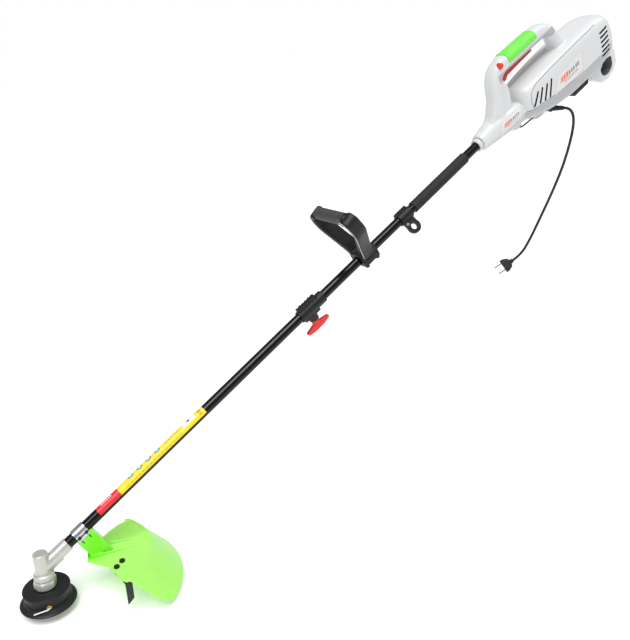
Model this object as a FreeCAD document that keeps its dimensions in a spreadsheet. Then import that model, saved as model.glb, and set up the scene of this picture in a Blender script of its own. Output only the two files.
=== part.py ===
"""Corded electric string trimmer with a split straight shaft, as a parametric FreeCAD document.

Millimetres, +Z up.  The trimmer stands in its working posture: the head's axis is vertical, the shaft rises
towards +X, and the machine's left side faces -Y.  The origin is the centre of the carrying-strap eyelet.

Pieces on the shaft are laid out in shaft stations (u, y, v): u runs up the shaft from the point where the head
axis and the shaft axis cross, v is square to the shaft and points up, y is the machine's width.
Pieces of the cutting head are laid out on the head axis, z up from the same crossing point.
"""
import FreeCAD, Part
import Sketcher
import math
import os
from FreeCAD import Placement, Rotation, Vector

DOC = FreeCAD.newDocument("string_trimmer")
ORIGIN = Vector(0, 0, 0)

DIMENSIONS = {
    # posture and origin
    "shaft_rise": (30, "angle of the shaft above level, degrees"),
    "hanger_station": (950, "station of the strap hanger"),
    "hanger_reach": (29, "eyelet centre from the shaft axis"),
    "hanger_swing": (36.5, "eyelet turned from straight down towards the left side, degrees"),
    # tubes and drive line
    "tube_d": (20, "outer diameter of both shaft tubes"),
    "tube_wall": (1.5, "wall of the shaft tubes"),
    "tube_start": (34, "lower end of the lower tube, inside the gear case"),
    "split_station": (674, "where the two tubes meet, inside the coupler"),
    "tube_end": (1262, "upper end of the upper tube, inside the housing"),
    "fit": (0.02, "radial gap of parts clamped or pressed together"),
    "running": (0.05, "radial gap of running fits"),
    "drive_r": (3, "radius of the drive shafts"),
    "stub_r": (1.8, "lower end of the drive shaft, inside the pinion"),
    "square_a": (4.2, "across flats of the square drive end"),
    # gear case
    "barrel_r": (12.5, "gear case barrel"),
    "barrel_top": (27, "top of the barrel above the crossing"),
    "arm_r": (12.2, "inclined arm that holds the tube"),
    "arm_end": (56, "station where the arm ends"),
    "neck_r": (17.3, "ring at the foot of the gear case"),
    "neck_top": (-9, "top of that ring"),
    "case_foot": (-19, "bottom face of the gear case"),
    "collar_r": (19.5, "adapter collar below the gear case"),
    "collar_foot": (-35.5, "bottom of the adapter collar"),
    "spindle_r": (3.5, "output spindle"),
    # bevel gears
    "pinion_teeth": (12, "teeth on the pinion"),
    "gear_teeth": (20, "teeth on the output gear"),
    "cone_far": (12.6, "outer cone distance of the gears"),
    "cone_near": (8.4, "inner cone distance of the gears"),
    # spool head
    "disc_r": (39.8, "top disc of the spool housing"),
    "disc_top": (-37, "top face of that disc"),
    "wall_r": (37.5, "spool housing wall"),
    "flange_r": (47.6, "flared foot of the spool cover"),
    "flange_foot": (-66, "bottom of the spool cover"),
    "knob_r": (20, "bump knob"),
    "knob_foot": (-79, "lowest point of the bump knob"),
    "bump_travel": (5, "travel of the bump knob"),
    # guard
    "guard_turn": (-21, "guard's middle line about the vertical, degrees"),
    "guard_centre": (70, "centre of the guard's arcs, in front of the head axis"),
    "guard_plate_r": (118, "radius of the top plate's arc"),
    "guard_skirt_r": (167, "radius of the skirt's lower edge"),
    "guard_top": (-10, "top face of the plate"),
    "guard_drop": (60, "height of the skirt"),
    "guard_wall": (2.6, "wall of the guard"),
    # coupler
    "coupler_start": (634, "lower end of the coupler"),
    "coupler_end": (700, "upper end of the coupler"),
    "coupler_r": (12.9, "coupler sleeve"),
    "knob_station": (659, "axis of the wing knob"),
    "wing_span": (61, "wing knob, tip to tip"),
    # front handle
    "handle_station": (827, "middle of the front handle's clamp"),
    "handle_lean": (12, "lean of the loop towards the head, degrees"),
    "handle_rise": (123, "grip axis from the shaft axis, along the loop"),
    "handle_half": (55, "half the width between the arms"),
    "grip_r": (12.5, "ribbed grip of the front handle"),
    # foam grip and collar
    "foam_start": (978, "lower end of the foam grip"),
    "foam_end": (1152, "upper end of the foam grip"),
    "foam_r": (12.3, "foam grip"),
    "neck_station": (1202, "front face of the housing"),
    # rear housing
    "shell": (2.6, "wall of the housing"),
    "bar_half": (17, "half height of the rear handle's bar"),
    "bar_width": (36, "width of the rear handle"),
    # motor
    "stator_r": (37, "motor field"),
    "core_r": (22, "armature core"),
    "armature_r": (4, "armature shaft"),
    # cord
    "cord_d": (6.4, "power cord"),
    "pin_gap": (19, "plug pins, centre to centre"),
    "pin_r": (2.4, "plug pins"),
}


class Size:
    """A length that knows its value and the spreadsheet expression it comes from."""

    def __init__(self, value, text=None):
        self.value = float(value)
        self.text = text or repr(float(value))

    def _join(self, other, value, sign, swap=False):
        first, second = (other, self) if swap else (self, other)
        return Size(value, f"({first.text} {sign} {second.text})")

    def __add__(self, other):
        other = as_size(other)
        return self._join(other, self.value + other.value, "+")

    def __radd__(self, other):
        return as_size(other) + self

    def __sub__(self, other):
        other = as_size(other)
        return self._join(other, self.value - other.value, "-")

    def __rsub__(self, other):
        return as_size(other) - self

    def __mul__(self, other):
        other = as_size(other)
        return self._join(other, self.value * other.value, "*")

    def __rmul__(self, other):
        return as_size(other) * self

    def __truediv__(self, other):
        other = as_size(other)
        return self._join(other, self.value / other.value, "/")

    def __neg__(self):
        return as_size(0) - self


def as_size(value):
    return value if isinstance(value, Size) else Size(value)


class Sheet:
    """The spreadsheet of driving dimensions; each one reads as an attribute."""

    def __init__(self, table):
        self._table = table
        cells = DOC.addObject("Spreadsheet::Sheet", "Dims")
        for row, (name, (value, note)) in enumerate(table.items(), start=1):
            cells.set(f"A{row}", name)
            cells.set(f"B{row}", str(value))
            cells.set(f"C{row}", note)
            cells.setAlias(f"B{row}", name)
        DOC.recompute()

    def __getattr__(self, name):
        return Size(self._table[name][0], f"Dims.{name}")


D = Sheet(DIMENSIONS)
NODES = []


def mm(name):
    """A driving dimension as a plain number."""
    return getattr(D, name).value


# ---------------------------------------------------------------------------------------------- places

RISE = math.radians(mm("shaft_rise"))
SWING = math.radians(mm("hanger_swing"))
SHAFT_TURN = Rotation(Vector(0, 1, 0), -mm("shaft_rise"))
EYELET_AT = Vector(
    mm("hanger_station"),
    -mm("hanger_reach") * math.sin(SWING),
    -mm("hanger_reach") * math.cos(SWING),
)
CROSSING = SHAFT_TURN.multVec(EYELET_AT) * -1
SHAFT = Placement(CROSSING, SHAFT_TURN)
HEAD = Placement(CROSSING, Rotation())
GUARD = Placement(
    CROSSING + Vector(mm("guard_centre"), 0, 0), Rotation(Vector(0, 0, 1), mm("guard_turn"))
)
TO_U = Rotation(Vector(0, 1, 0), 90)
TO_Y = Rotation(Vector(1, 0, 0), -90)


def on_shaft(u, y=0.0, v=0.0, turn=Rotation()):
    """A place in shaft stations; local Z points up the v direction unless turned."""
    return SHAFT.multiply(Placement(Vector(u, y, v), turn))


def along_shaft(u, y=0.0, v=0.0):
    """A place whose local Z runs up the shaft."""
    return on_shaft(u, y, v, TO_U)


def across_shaft(u, y=0.0, v=0.0):
    """A place whose local Z runs towards +Y."""
    return on_shaft(u, y, v, TO_Y)


def on_head(z, x=0.0, y=0.0, turn=Rotation()):
    """A place on the head axis; local Z points up."""
    return HEAD.multiply(Placement(Vector(x, y, z), turn))


# ---------------------------------------------------------------------------------------------- builders


def node(obj, name):
    """Names a sub-part and lists it for export."""
    obj.Label = name
    NODES.append(obj)
    return obj


def bind(obj, **sizes):
    for prop, size in sizes.items():
        obj.setExpression(prop, as_size(size).text)
    return obj


def cylinder(radius, height, place):
    obj = bind(DOC.addObject("Part::Cylinder", "cylinder"), Radius=radius, Height=height)
    obj.Placement = place
    return obj


def cone(low_radius, high_radius, height, place):
    obj = bind(DOC.addObject("Part::Cone", "cone"), Radius1=low_radius, Radius2=high_radius, Height=height)
    obj.Placement = place
    return obj


def box(length, width, height, place):
    """A box centred on its place in X and Y, standing on it in Z."""
    obj = bind(DOC.addObject("Part::Box", "box"), Length=length, Width=width, Height=height)
    shift = Vector(-as_size(length).value / 2, -as_size(width).value / 2, 0)
    obj.Placement = place.multiply(Placement(shift, Rotation()))
    return obj


def prism(sides, across_corners, height, place):
    obj = bind(DOC.addObject("Part::Prism", "prism"), Circumradius=across_corners, Height=height)
    obj.Polygon = sides
    obj.Placement = place
    return obj


def fuse(*shapes):
    obj = DOC.addObject("Part::MultiFuse", "fuse")
    obj.Shapes = list(shapes)
    return obj


def cut(base, *tools):
    obj = DOC.addObject("Part::Cut", "cut")
    obj.Base = base
    obj.Tool = tools[0] if len(tools) == 1 else fuse(*tools)
    return obj


def group(*shapes):
    obj = DOC.addObject("Part::Compound", "group")
    obj.Links = list(shapes)
    return obj


def ring(inner, outer, length, place):
    """A tube; its bore runs past both ends."""
    inner_place = place.multiply(Placement(Vector(0, 0, -1), Rotation()))
    return cut(cylinder(outer, length, place), cylinder(inner, as_size(length) + 2, inner_place))


def feature(shape, name="feature"):
    obj = DOC.addObject("Part::Feature", name)
    obj.Shape = shape
    return obj


def placed(shape, place):
    """A feature whose shape was drawn in local coordinates."""
    obj = feature(shape)
    obj.Placement = place
    return obj


def new_sketch(body, role, points):
    """A closed outline on one of the body's origin planes; each corner is held by two sizes."""
    sketch = body.newObject("Sketcher::SketchObject", "outline")
    plane = next(item for item in body.Origin.OriginFeatures if item.Role == role)
    sketch.AttachmentSupport = [(plane, "")]
    sketch.MapMode = "FlatFace"
    corners = [(as_size(a), as_size(b)) for a, b in points]
    flat = [Vector(a.value, b.value, 0) for a, b in corners]
    for index, start in enumerate(flat):
        sketch.addGeometry(Part.LineSegment(start, flat[(index + 1) % len(flat)]), False)
    for index in range(len(flat)):
        sketch.addConstraint(corner_join(index, (index + 1) % len(flat)))
    for index, (across, up) in enumerate(corners):
        hold(sketch, "DistanceX", index, across)
        hold(sketch, "DistanceY", index, up)
    return sketch


def corner_join(first, second):
    """Ties the end of one side of an outline to the start of the next."""
    return Sketcher.Constraint("Coincident", first, 2, second, 1)


def hold(sketch, kind, index, size):
    """Ties one coordinate of a corner to its size."""
    number = sketch.addConstraint(Sketcher.Constraint(kind, -1, 1, index, 1, size.value))
    sketch.setExpression(f"Constraints[{number}]", size.text)


def padded(points, length, place, role="XY_Plane", middle=False):
    """A body padded from a corner outline."""
    body = DOC.addObject("PartDesign::Body", "body")
    pad = body.newObject("PartDesign::Pad", "pad")
    pad.Profile = new_sketch(body, role, points)
    pad.setExpression("Length", as_size(length).text)
    pad.Midplane = middle
    body.Tip = pad
    body.Placement = place
    return body


def turned(points, place, angle=360):
    """A body turned about its own Z axis; points are (radius, height)."""
    body = DOC.addObject("PartDesign::Body", "body")
    spin = body.newObject("PartDesign::Revolution", "turned")
    sketch = new_sketch(body, "XZ_Plane", points)
    spin.Profile = sketch
    spin.ReferenceAxis = (sketch, ["V_Axis"])
    spin.Angle = angle
    body.Tip = spin
    body.Placement = place
    return body


def rounded_path(points, radii):
    """A wire of straight runs joined by tangent arcs; radii belong to the inner points."""
    edges = []
    start = points[0]
    for before, corner, after, radius in zip(points, points[1:], points[2:], radii):
        back = (before - corner).normalize()
        ahead = (after - corner).normalize()
        half_turn = (math.pi - back.getAngle(ahead)) / 2
        reach = radius * math.tan(half_turn)
        bisector = (back + ahead).normalize()
        centre = corner + bisector * (radius / math.cos(half_turn))
        first = corner + back * reach
        last = corner + ahead * reach
        middle = centre - bisector * radius
        if (first - start).Length > 1e-6:
            edges.append(Part.LineSegment(start, first).toShape())
        edges.append(Part.Arc(first, middle, last).toShape())
        start = last
    edges.append(Part.LineSegment(start, points[-1]).toShape())
    return Part.Wire(edges)


def rounded_rectangle(width, height, radius):
    """A rounded rectangle in the local XY plane, centred on the origin."""
    a = width / 2
    b = height / 2
    r = min(radius, a - 0.01, b - 0.01)
    q = r * (1 - math.sqrt(0.5))
    corners = ((1, -1), (1, 1), (-1, 1), (-1, -1))
    edges = []
    for index, (sx, sy) in enumerate(corners):
        on_side = Vector(sx * a, sy * (b - r), 0)
        on_end = Vector(sx * (a - r), sy * b, 0)
        middle = Vector(sx * (a - q), sy * (b - q), 0)
        first, last = (on_end, on_side) if index in (0, 2) else (on_side, on_end)
        edges.append(Part.Arc(first, middle, last).toShape())
        nx, ny = corners[(index + 1) % 4]
        if index in (0, 2):
            target = Vector(nx * a, ny * (b - r), 0)
        else:
            target = Vector(nx * (a - r), ny * b, 0)
        edges.append(Part.LineSegment(last, target).toShape())
    return Part.Wire(edges)


# ---------------------------------------------------------------------------------------------- gear case


def bevel_blank(teeth, pitch_angle, bore, back):
    """A bevel gear on its own Z axis with the cone's tip at the origin."""
    angle = math.radians(pitch_angle)
    far = mm("cone_far")
    near = mm("cone_near")
    module = 2 * far * math.sin(angle) / teeth

    def point(distance, height):
        scaled = height * module * distance / far
        return (
            distance * math.sin(angle) + scaled * math.cos(angle),
            distance * math.cos(angle) - scaled * math.sin(angle),
        )

    def tooth_face(distance):
        tip_r, tip_z = point(distance, 0.9)
        root_r, root_z = point(distance, -1.3)
        pitch = math.pi * module * distance / far
        tip = 0.11 * pitch
        root = 0.30 * pitch
        corners = [
            Vector(root_r, -root, root_z),
            Vector(tip_r, -tip, tip_z),
            Vector(tip_r, tip, tip_z),
            Vector(root_r, root, root_z),
        ]
        return Part.makePolygon(corners + corners[:1])

    near_r, near_z = point(near, -1.15)
    far_r, far_z = point(far, -1.15)
    outline = [
        Vector(bore, 0, near_z),
        Vector(near_r, 0, near_z),
        Vector(far_r, 0, far_z),
        Vector(far_r - 1.2, 0, back),
        Vector(bore, 0, back),
    ]
    blank = Part.Face(Part.makePolygon(outline + outline[:1])).revolve(ORIGIN, Vector(0, 0, 1), 360)
    tooth = Part.makeLoft([tooth_face(near), tooth_face(far)], True, True)
    solids = []
    for index in range(teeth):
        copy = tooth.copy()
        copy.rotate(ORIGIN, Vector(0, 0, 1), 360 * index / teeth)
        solids.append(copy)
    return blank.fuse(solids).removeSplitter()


def gear_angles():
    """Pitch angles of pinion and gear for shafts that cross at 90 degrees less the rise."""
    between = math.radians(90 - mm("shaft_rise"))
    ratio = mm("gear_teeth") / mm("pinion_teeth")
    pinion = math.atan(math.sin(between) / (ratio + math.cos(between)))
    return math.degrees(pinion), math.degrees(between - pinion)


def make_gear_case():
    barrel = cylinder(D.barrel_r, D.barrel_top + 12, on_head(-12))
    arm = cylinder(D.arm_r, D.arm_end, along_shaft(0))
    web = box(26, 5, 12, on_shaft(20, 0, -17))
    neck = cylinder(D.neck_r, D.neck_top - D.case_foot, on_head(mm("case_foot")))
    shoulder = cone(D.neck_r - 1.5, D.barrel_r, 5, on_head(mm("neck_top")))
    shape = fuse(barrel, arm, web, neck, shoulder)
    cavity = cylinder(9.8, 44.5, on_head(-17))
    spindle_hole = cylinder(D.spindle_r + 0.6, 6, on_head(-20))
    bearing_seat = cylinder(8, D.tube_start - 4, along_shaft(5))
    socket = cylinder(D.tube_d / 2 + D.fit, 40, along_shaft(mm("tube_start")))
    below = cylinder(30, 20, on_head(mm("case_foot") - 20))
    node(cut(shape, cavity, spindle_hole, bearing_seat, socket, below), "gear_case")

    lid = cylinder(D.barrel_r, 2.2, on_head(mm("barrel_top") + 0.02))
    crown = cone(D.barrel_r, D.barrel_r - 2, 1.4, on_head(mm("barrel_top") + 2.22))
    spigot = cylinder(9.78, 4, on_head(mm("barrel_top") - 3.98))
    node(fuse(lid, crown, spigot), "gear_case_cap")

    upper = ring(D.spindle_r + D.running, 9.78, 6, on_head(16.5))
    lower = ring(D.spindle_r + D.running, 9.78, 7, on_head(-17))
    pinion = ring(D.drive_r + D.running, 7.98, 7, along_shaft(17))
    node(group(upper, lower, pinion), "gear_bearings")


def make_gears():
    pinion_angle, gear_angle = gear_angles()
    half_tooth = 180 / mm("gear_teeth")
    gear = bevel_blank(int(mm("gear_teeth")), gear_angle, mm("spindle_r"), 14.5)
    between_teeth = on_head(0, 0, 0, Rotation(Vector(0, 0, 1), half_tooth))
    node(placed(gear, between_teeth), "output_gear")
    pinion = bevel_blank(int(mm("pinion_teeth")), pinion_angle, mm("stub_r"), 15.5)
    node(placed(pinion, along_shaft(0)), "pinion_gear")


# ---------------------------------------------------------------------------------------------- spool head


def make_adapter():
    top = mm("case_foot") - 1
    spindle = cylinder(D.spindle_r, 81, on_head(-59.5))
    node(spindle, "output_shaft")
    rim = cylinder(D.collar_r - 2.2, top - D.collar_foot, on_head(mm("collar_foot")))
    flats = prism(6, D.collar_r, top - D.collar_foot - 4, on_head(mm("collar_foot") + 2))
    bore = cylinder(D.spindle_r, 20, on_head(mm("collar_foot") - 1))
    node(cut(fuse(rim, flats), bore), "adapter_collar")


def make_spool_head():
    roof = D.disc_top - 3
    housing = turned(
        [
            (D.spindle_r, D.collar_foot),
            (12, D.collar_foot),
            (13, D.disc_top),
            (D.disc_r - 1, D.disc_top),
            (D.disc_r, D.disc_top - 1),
            (D.disc_r, roof),
            (D.wall_r, roof - 0.6),
            (D.wall_r, -57),
            (D.wall_r - 2.5, -57),
            (D.wall_r - 2.5, roof),
            (D.spindle_r, roof),
        ],
        on_head(0),
    )
    windows = []
    for bearing in (-103, 77):
        place = on_head(-53, 0, 0, Rotation(Vector(0, 0, 1), bearing).multiply(TO_U))
        windows.append(cylinder(3.2, 45, place))
    node(cut(housing, *windows), "spool_housing")

    cover = turned(
        [
            (D.wall_r - 4, -57.02),
            (D.wall_r + 0.4, -57.02),
            (D.wall_r + 3, -60.5),
            (D.flange_r, D.flange_foot + 1.5),
            (D.flange_r - 0.4, D.flange_foot),
            (D.knob_r + 0.5, D.flange_foot),
            (D.knob_r + 0.5, D.flange_foot + 3),
            (D.wall_r - 4, D.flange_foot + 3),
        ],
        on_head(0),
    )
    node(cover, "spool_cover")

    spool = turned(
        [
            (D.spindle_r + D.running, -57),
            (33, -57),
            (33, -55),
            (13, -55),
            (13, -48),
            (33, -48),
            (33, -46),
            (10.5, -46),
            (10.5, -53),
            (D.spindle_r + D.running, -53),
        ],
        on_head(0),
    )
    node(spool, "line_spool")
    node(ring(13.02, 27, 6.9, on_head(-54.95)), "line_coil")

    knob = turned(
        [
            (8, -57),
            (D.knob_r - 1, -57),
            (D.knob_r, -58),
            (D.knob_r, D.knob_foot + 7),
            (D.knob_r - 4, D.knob_foot + 2),
            (D.knob_r - 9, D.knob_foot),
            (0, D.knob_foot),
            (0, -66),
            (8, -66),
        ],
        on_head(0),
    )
    node(knob, "bump_knob")

    pitch = 3.2
    coil_r = 8.2
    steps = 12
    points = []
    for index in range(int(3.5 * steps) + 1):
        angle = 2 * math.pi * index / steps
        points.append(Vector(coil_r * math.cos(angle), coil_r * math.sin(angle), pitch * index / steps))
    curve = Part.BSplineCurve()
    curve.interpolate(points)
    circle = Part.Wire(Part.makeCircle(0.7, points[0], curve.tangent(0)[0]))
    spring = Part.Wire(curve.toShape()).makePipeShell([circle], True, True)
    node(placed(spring, on_head(-52.3)), "bump_spring")

    eyelets = []
    for bearing in (-103, 77):
        turn_out = Rotation(Vector(0, 0, 1), bearing).multiply(TO_U)
        place = on_head(-53, 0, 0, turn_out)
        sleeve = ring(1.7, 3.18, 4, place.multiply(Placement(Vector(0, 0, 34.6), Rotation())))
        collar = ring(1.7, 4.2, 1, place.multiply(Placement(Vector(0, 0, 37.6), Rotation())))
        eyelets.append(fuse(sleeve, collar))
    node(group(*eyelets), "line_eyelets")

    bearing = math.radians(-103)
    way_out = Vector(math.cos(bearing), math.sin(bearing), 0)
    points = [
        way_out * 38.7 + Vector(0, 0, -53),
        way_out * 43 + Vector(0, 0, -53),
        Vector(-33, -31, -59),
    ]
    node(placed(round_bar(points, [3], 1.2), HEAD), "line_end")


def round_bar(points, radii, radius):
    """A round bar along straight runs joined by arcs."""
    wire = rounded_path(points, radii)
    direction = (points[1] - points[0]).normalize()
    circle = Part.Wire(Part.makeCircle(radius, points[0], direction))
    return wire.makePipeShell([circle], True, True)


# ---------------------------------------------------------------------------------------------- guard


def make_guard():
    top = mm("guard_top")
    wall = mm("guard_wall")
    foot = top - mm("guard_drop")
    plate_r = mm("guard_plate_r")
    skirt_r = mm("guard_skirt_r")
    near_side = [(6, 16), (20, 27), (42, 43), (54, 64), (61, 83), (71, 92), (77.9, 88.6)]
    far_side = [(6, 16), (25, 40), (40, 60), (58, 78), (77.9, 88.6)]
    left = [Vector(a, -p, top) for a, p in near_side]
    right = [Vector(a, p, top) for a, p in reversed(far_side)]
    edge = Part.Arc(left[-1], Vector(plate_r, 0, top), right[0]).toShape()
    outline = [Part.LineSegment(a, b).toShape() for a, b in zip(left, left[1:])]
    outline += [edge]
    outline += [Part.LineSegment(a, b).toShape() for a, b in zip(right, right[1:])]
    outline += [Part.LineSegment(right[-1], left[0]).toShape()]
    plate = Part.Face(Part.Wire(outline)).extrude(Vector(0, 0, -wall))

    section = [
        Vector(plate_r - 4, 0, top + 2.4),
        Vector(plate_r + 1, 0, top + 2.4),
        Vector(plate_r + 2.5, 0, top - 2),
        Vector(skirt_r, 0, foot),
        Vector(skirt_r - wall, 0, foot),
        Vector(plate_r - 0.5, 0, top - wall),
        Vector(plate_r - 4, 0, top - wall),
    ]
    skirt = Part.Face(Part.makePolygon(section + section[:1])).revolve(ORIGIN, Vector(0, 0, 1), 110)
    skirt.rotate(ORIGIN, Vector(0, 0, 1), -55)
    front = [
        Vector(40, -89.2, top + 3),
        Vector(40, 89.2, top + 3),
        Vector(40, 96, foot + 16),
        Vector(40, 91, foot + 3),
        Vector(40, 82, foot - 1),
        Vector(40, -82, foot - 1),
        Vector(40, -91, foot + 3),
        Vector(40, -96, foot + 16),
    ]
    window = Part.Face(Part.makePolygon(front + front[:1])).extrude(Vector(160, 0, 0))
    shape = plate.fuse(skirt.common(window))
    shape.Placement = GUARD

    block = Part.makeBox(56, 36, 90, CROSSING + Vector(61, -18, top - 1))
    under = Part.makeBox(32, 40, 90, Vector(67, -20, -94))
    under.Placement = SHAFT
    block = block.common(under)
    rib_ends = (((77, -17), (172, -35)), ((112, 4), (170, -15)))
    ribs = []
    for (x0, y0), (x1, y1) in rib_ends:
        start = CROSSING + Vector(x0, y0, top - 0.5)
        end = CROSSING + Vector(x1, y1, top - 0.5)
        across = (end - start).cross(Vector(0, 0, 1)).normalize() * 1.3
        rise = Vector(0, 0, 9)
        low = Vector(0, 0, 2.5)
        side_face = Part.makePolygon([start - across, end - across, end - across + low, start - across + rise,
                                      start - across])
        ribs.append(Part.Face(side_face).extrude(across * 2))
    shape = shape.fuse([block] + ribs)
    bore = Part.makeCylinder(mm("tube_d") / 2 + mm("fit"), 80, Vector(50, 0, 0), Vector(1, 0, 0))
    bore.Placement = SHAFT
    holes = [bore]
    for u in (75, 90):
        for y in (-15.5, 15.5):
            hole = Part.makeCylinder(1.82, 14, Vector(u, y, -14), Vector(0, 0, 1))
            hole.Placement = SHAFT
            holes.append(hole)
    for x, y in CUTTER_BOLTS:
        holes.append(Part.makeCylinder(2.5, 12, CROSSING + Vector(x, y, top - 8)))
    node(feature(shape.cut(holes).removeSplitter()), "guard")


CUTTER_BOLTS = ((104.5, -65.5), (118, -56))


def make_guard_clamp():
    hoop = cylinder(D.tube_d / 2 + 2.4, 24, along_shaft(70.5))
    flanges = box(24, 36, 3, on_shaft(82.5, 0, -3.9))
    bore = cylinder(D.tube_d / 2 + D.fit, 30, along_shaft(68))
    lower_half = box(30, 40, 30, on_shaft(82.5, 0, -33.9))
    holes = []
    screws = []
    for u in (75, 90):
        for y in (-15.5, 15.5):
            holes.append(cylinder(1.9, 10, on_shaft(u, y, -8)))
            shank = cylinder(1.8, 12, on_shaft(u, y, -12.9))
            head = cylinder(2.8, 1.8, on_shaft(u, y, -0.9))
            screws.append(fuse(shank, head))
    node(cut(fuse(hoop, flanges), bore, lower_half, *holes), "guard_clamp")
    return screws


def make_cutter(clamp_screws):
    top = mm("guard_top")
    wall = mm("guard_wall")
    body = DOC.addObject("PartDesign::Body", "body")
    foot = body.newObject("PartDesign::Pad", "foot")
    foot.Profile = new_sketch(body, "XY_Plane", [(-7, 0), (7, 0), (33, 36), (37, 47), (26, 53), (7, 47)])
    foot.Length = 2
    strip = body.newObject("PartDesign::Pad", "strip")
    strip.Profile = new_sketch(body, "XZ_Plane", [(-7, 2), (7, 2), (7, -36), (-7, -41)])
    strip.Length = 2
    body.Tip = strip
    bend = Vector(107, -107.4, top - wall - 2.02)
    body.Placement = Placement(CROSSING + bend, Rotation(Vector(0, 0, 1), 21.2))
    drills = [cylinder(2.5, 12, on_head(top - 8, x, y)) for x, y in CUTTER_BOLTS]
    node(cut(body, *drills), "cutter_blade")
    bolts = []
    for x, y in CUTTER_BOLTS:
        shank = cylinder(2.48, 10, on_head(top - wall - 4.8, x, y))
        head = prism(6, 5.2, 3.4, on_head(top + 0.02, x, y))
        washer = prism(6, 4.6, 2.6, on_head(top - wall - 4.8, x, y))
        bolts.append(fuse(shank, head, washer))
    node(group(*clamp_screws, *bolts), "guard_fasteners")


# ---------------------------------------------------------------------------------------------- shaft


def make_tubes():
    inner = D.tube_d / 2 - D.tube_wall
    lower = ring(inner, D.tube_d / 2, D.split_station - D.tube_start - 2, along_shaft(mm("tube_start")))
    node(lower, "lower_tube")
    upper = ring(inner, D.tube_d / 2, D.tube_end - D.split_station, along_shaft(mm("split_station")))
    node(upper, "upper_tube")
    wrap = ring(D.tube_d / 2, D.tube_d / 2 + 0.15, 253, along_shaft(125))
    seam = box(260, 6, 6, on_shaft(252, -8.5, -8.5))
    node(cut(wrap, seam), "tube_label")
    lower_bushes = [ring(D.drive_r + D.running, inner - 0.01, 12, along_shaft(u)) for u in (70, 300, 560)]
    upper_bushes = [ring(D.drive_r + D.running, inner - 0.01, 12, along_shaft(u)) for u in (730, 950, 1200)]
    node(group(*lower_bushes), "lower_bushes")
    node(group(*upper_bushes), "upper_bushes")


def make_drive():
    stub = cylinder(D.stub_r, 12, along_shaft(6))
    shaft = cylinder(D.drive_r, 636, along_shaft(16))
    square = box(D.square_a, D.square_a, 40, along_shaft(650))
    node(fuse(stub, shaft, square), "lower_drive_shaft")
    sleeve = cylinder(6.5, 30, along_shaft(677))
    socket = box(D.square_a + 0.1, D.square_a + 0.1, 18, along_shaft(676))
    bore = cylinder(D.drive_r, 20, along_shaft(693))
    node(cut(sleeve, socket, bore), "drive_coupling")
    node(cylinder(D.drive_r, 745, along_shaft(693)), "upper_drive_shaft")


def make_coupler():
    tube_r = D.tube_d / 2
    length = D.coupler_end - D.coupler_start
    start = mm("coupler_start")
    sleeve = cylinder(D.coupler_r, length, along_shaft(start))
    pad = box(40, 15, 9, on_shaft(start + 25, 0, -16))
    boss = cylinder(10.8, 18, on_shaft(mm("knob_station"), 0, -25.5))
    lugs = box(46, 13, 9, on_shaft(start + 28, 0, 8))
    slide_bore = cylinder(tube_r + D.running, 41, along_shaft(start - 1))
    clamp_bore = cylinder(tube_r + D.fit, 30, along_shaft(start + 39.5))
    screw_hole = cylinder(3.05, 22, on_shaft(mm("knob_station"), 0, -27))
    slot = box(50, 1.6, 14, on_shaft(start + 28, 0, 9))
    bolt_places = [across_shaft(start + 16, -9, 14.3), across_shaft(start + 40, -9, 14.3)]
    bolt_holes = [cylinder(1.35, 20, place) for place in bolt_places]
    body = cut(fuse(sleeve, pad, boss, lugs), slide_bore, clamp_bore, screw_hole, slot, *bolt_holes)
    node(body, "coupler_body")
    bolts = []
    for place in bolt_places:
        shank = cylinder(1.33, 17, place)
        head = cylinder(2.4, 2.4, place)
        nut = prism(6, 2.4, 2.4, place.multiply(Placement(Vector(0, 0, 15.6), Rotation())))
        bolts.append(fuse(shank, head, nut))
    node(group(*bolts), "coupler_bolts")

    half = D.wing_span / 2
    wings = padded(
        [
            (-half, -42),
            (-half + 2, -46.5),
            (-12, -50),
            (12, -50),
            (half - 2, -46.5),
            (half, -42),
            (half - 3, -39.5),
            (10, -35.5),
            (-10, -35.5),
            (-half + 3, -39.5),
        ],
        7,
        on_shaft(mm("knob_station")),
        "XZ_Plane",
        True,
    )
    hub = cone(9.5, 8.5, 19, on_shaft(mm("knob_station"), 0, -45))
    screw = cylinder(3, 17, on_shaft(mm("knob_station"), 0, -27.5))
    node(fuse(wings, hub, screw), "wing_knob")


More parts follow.
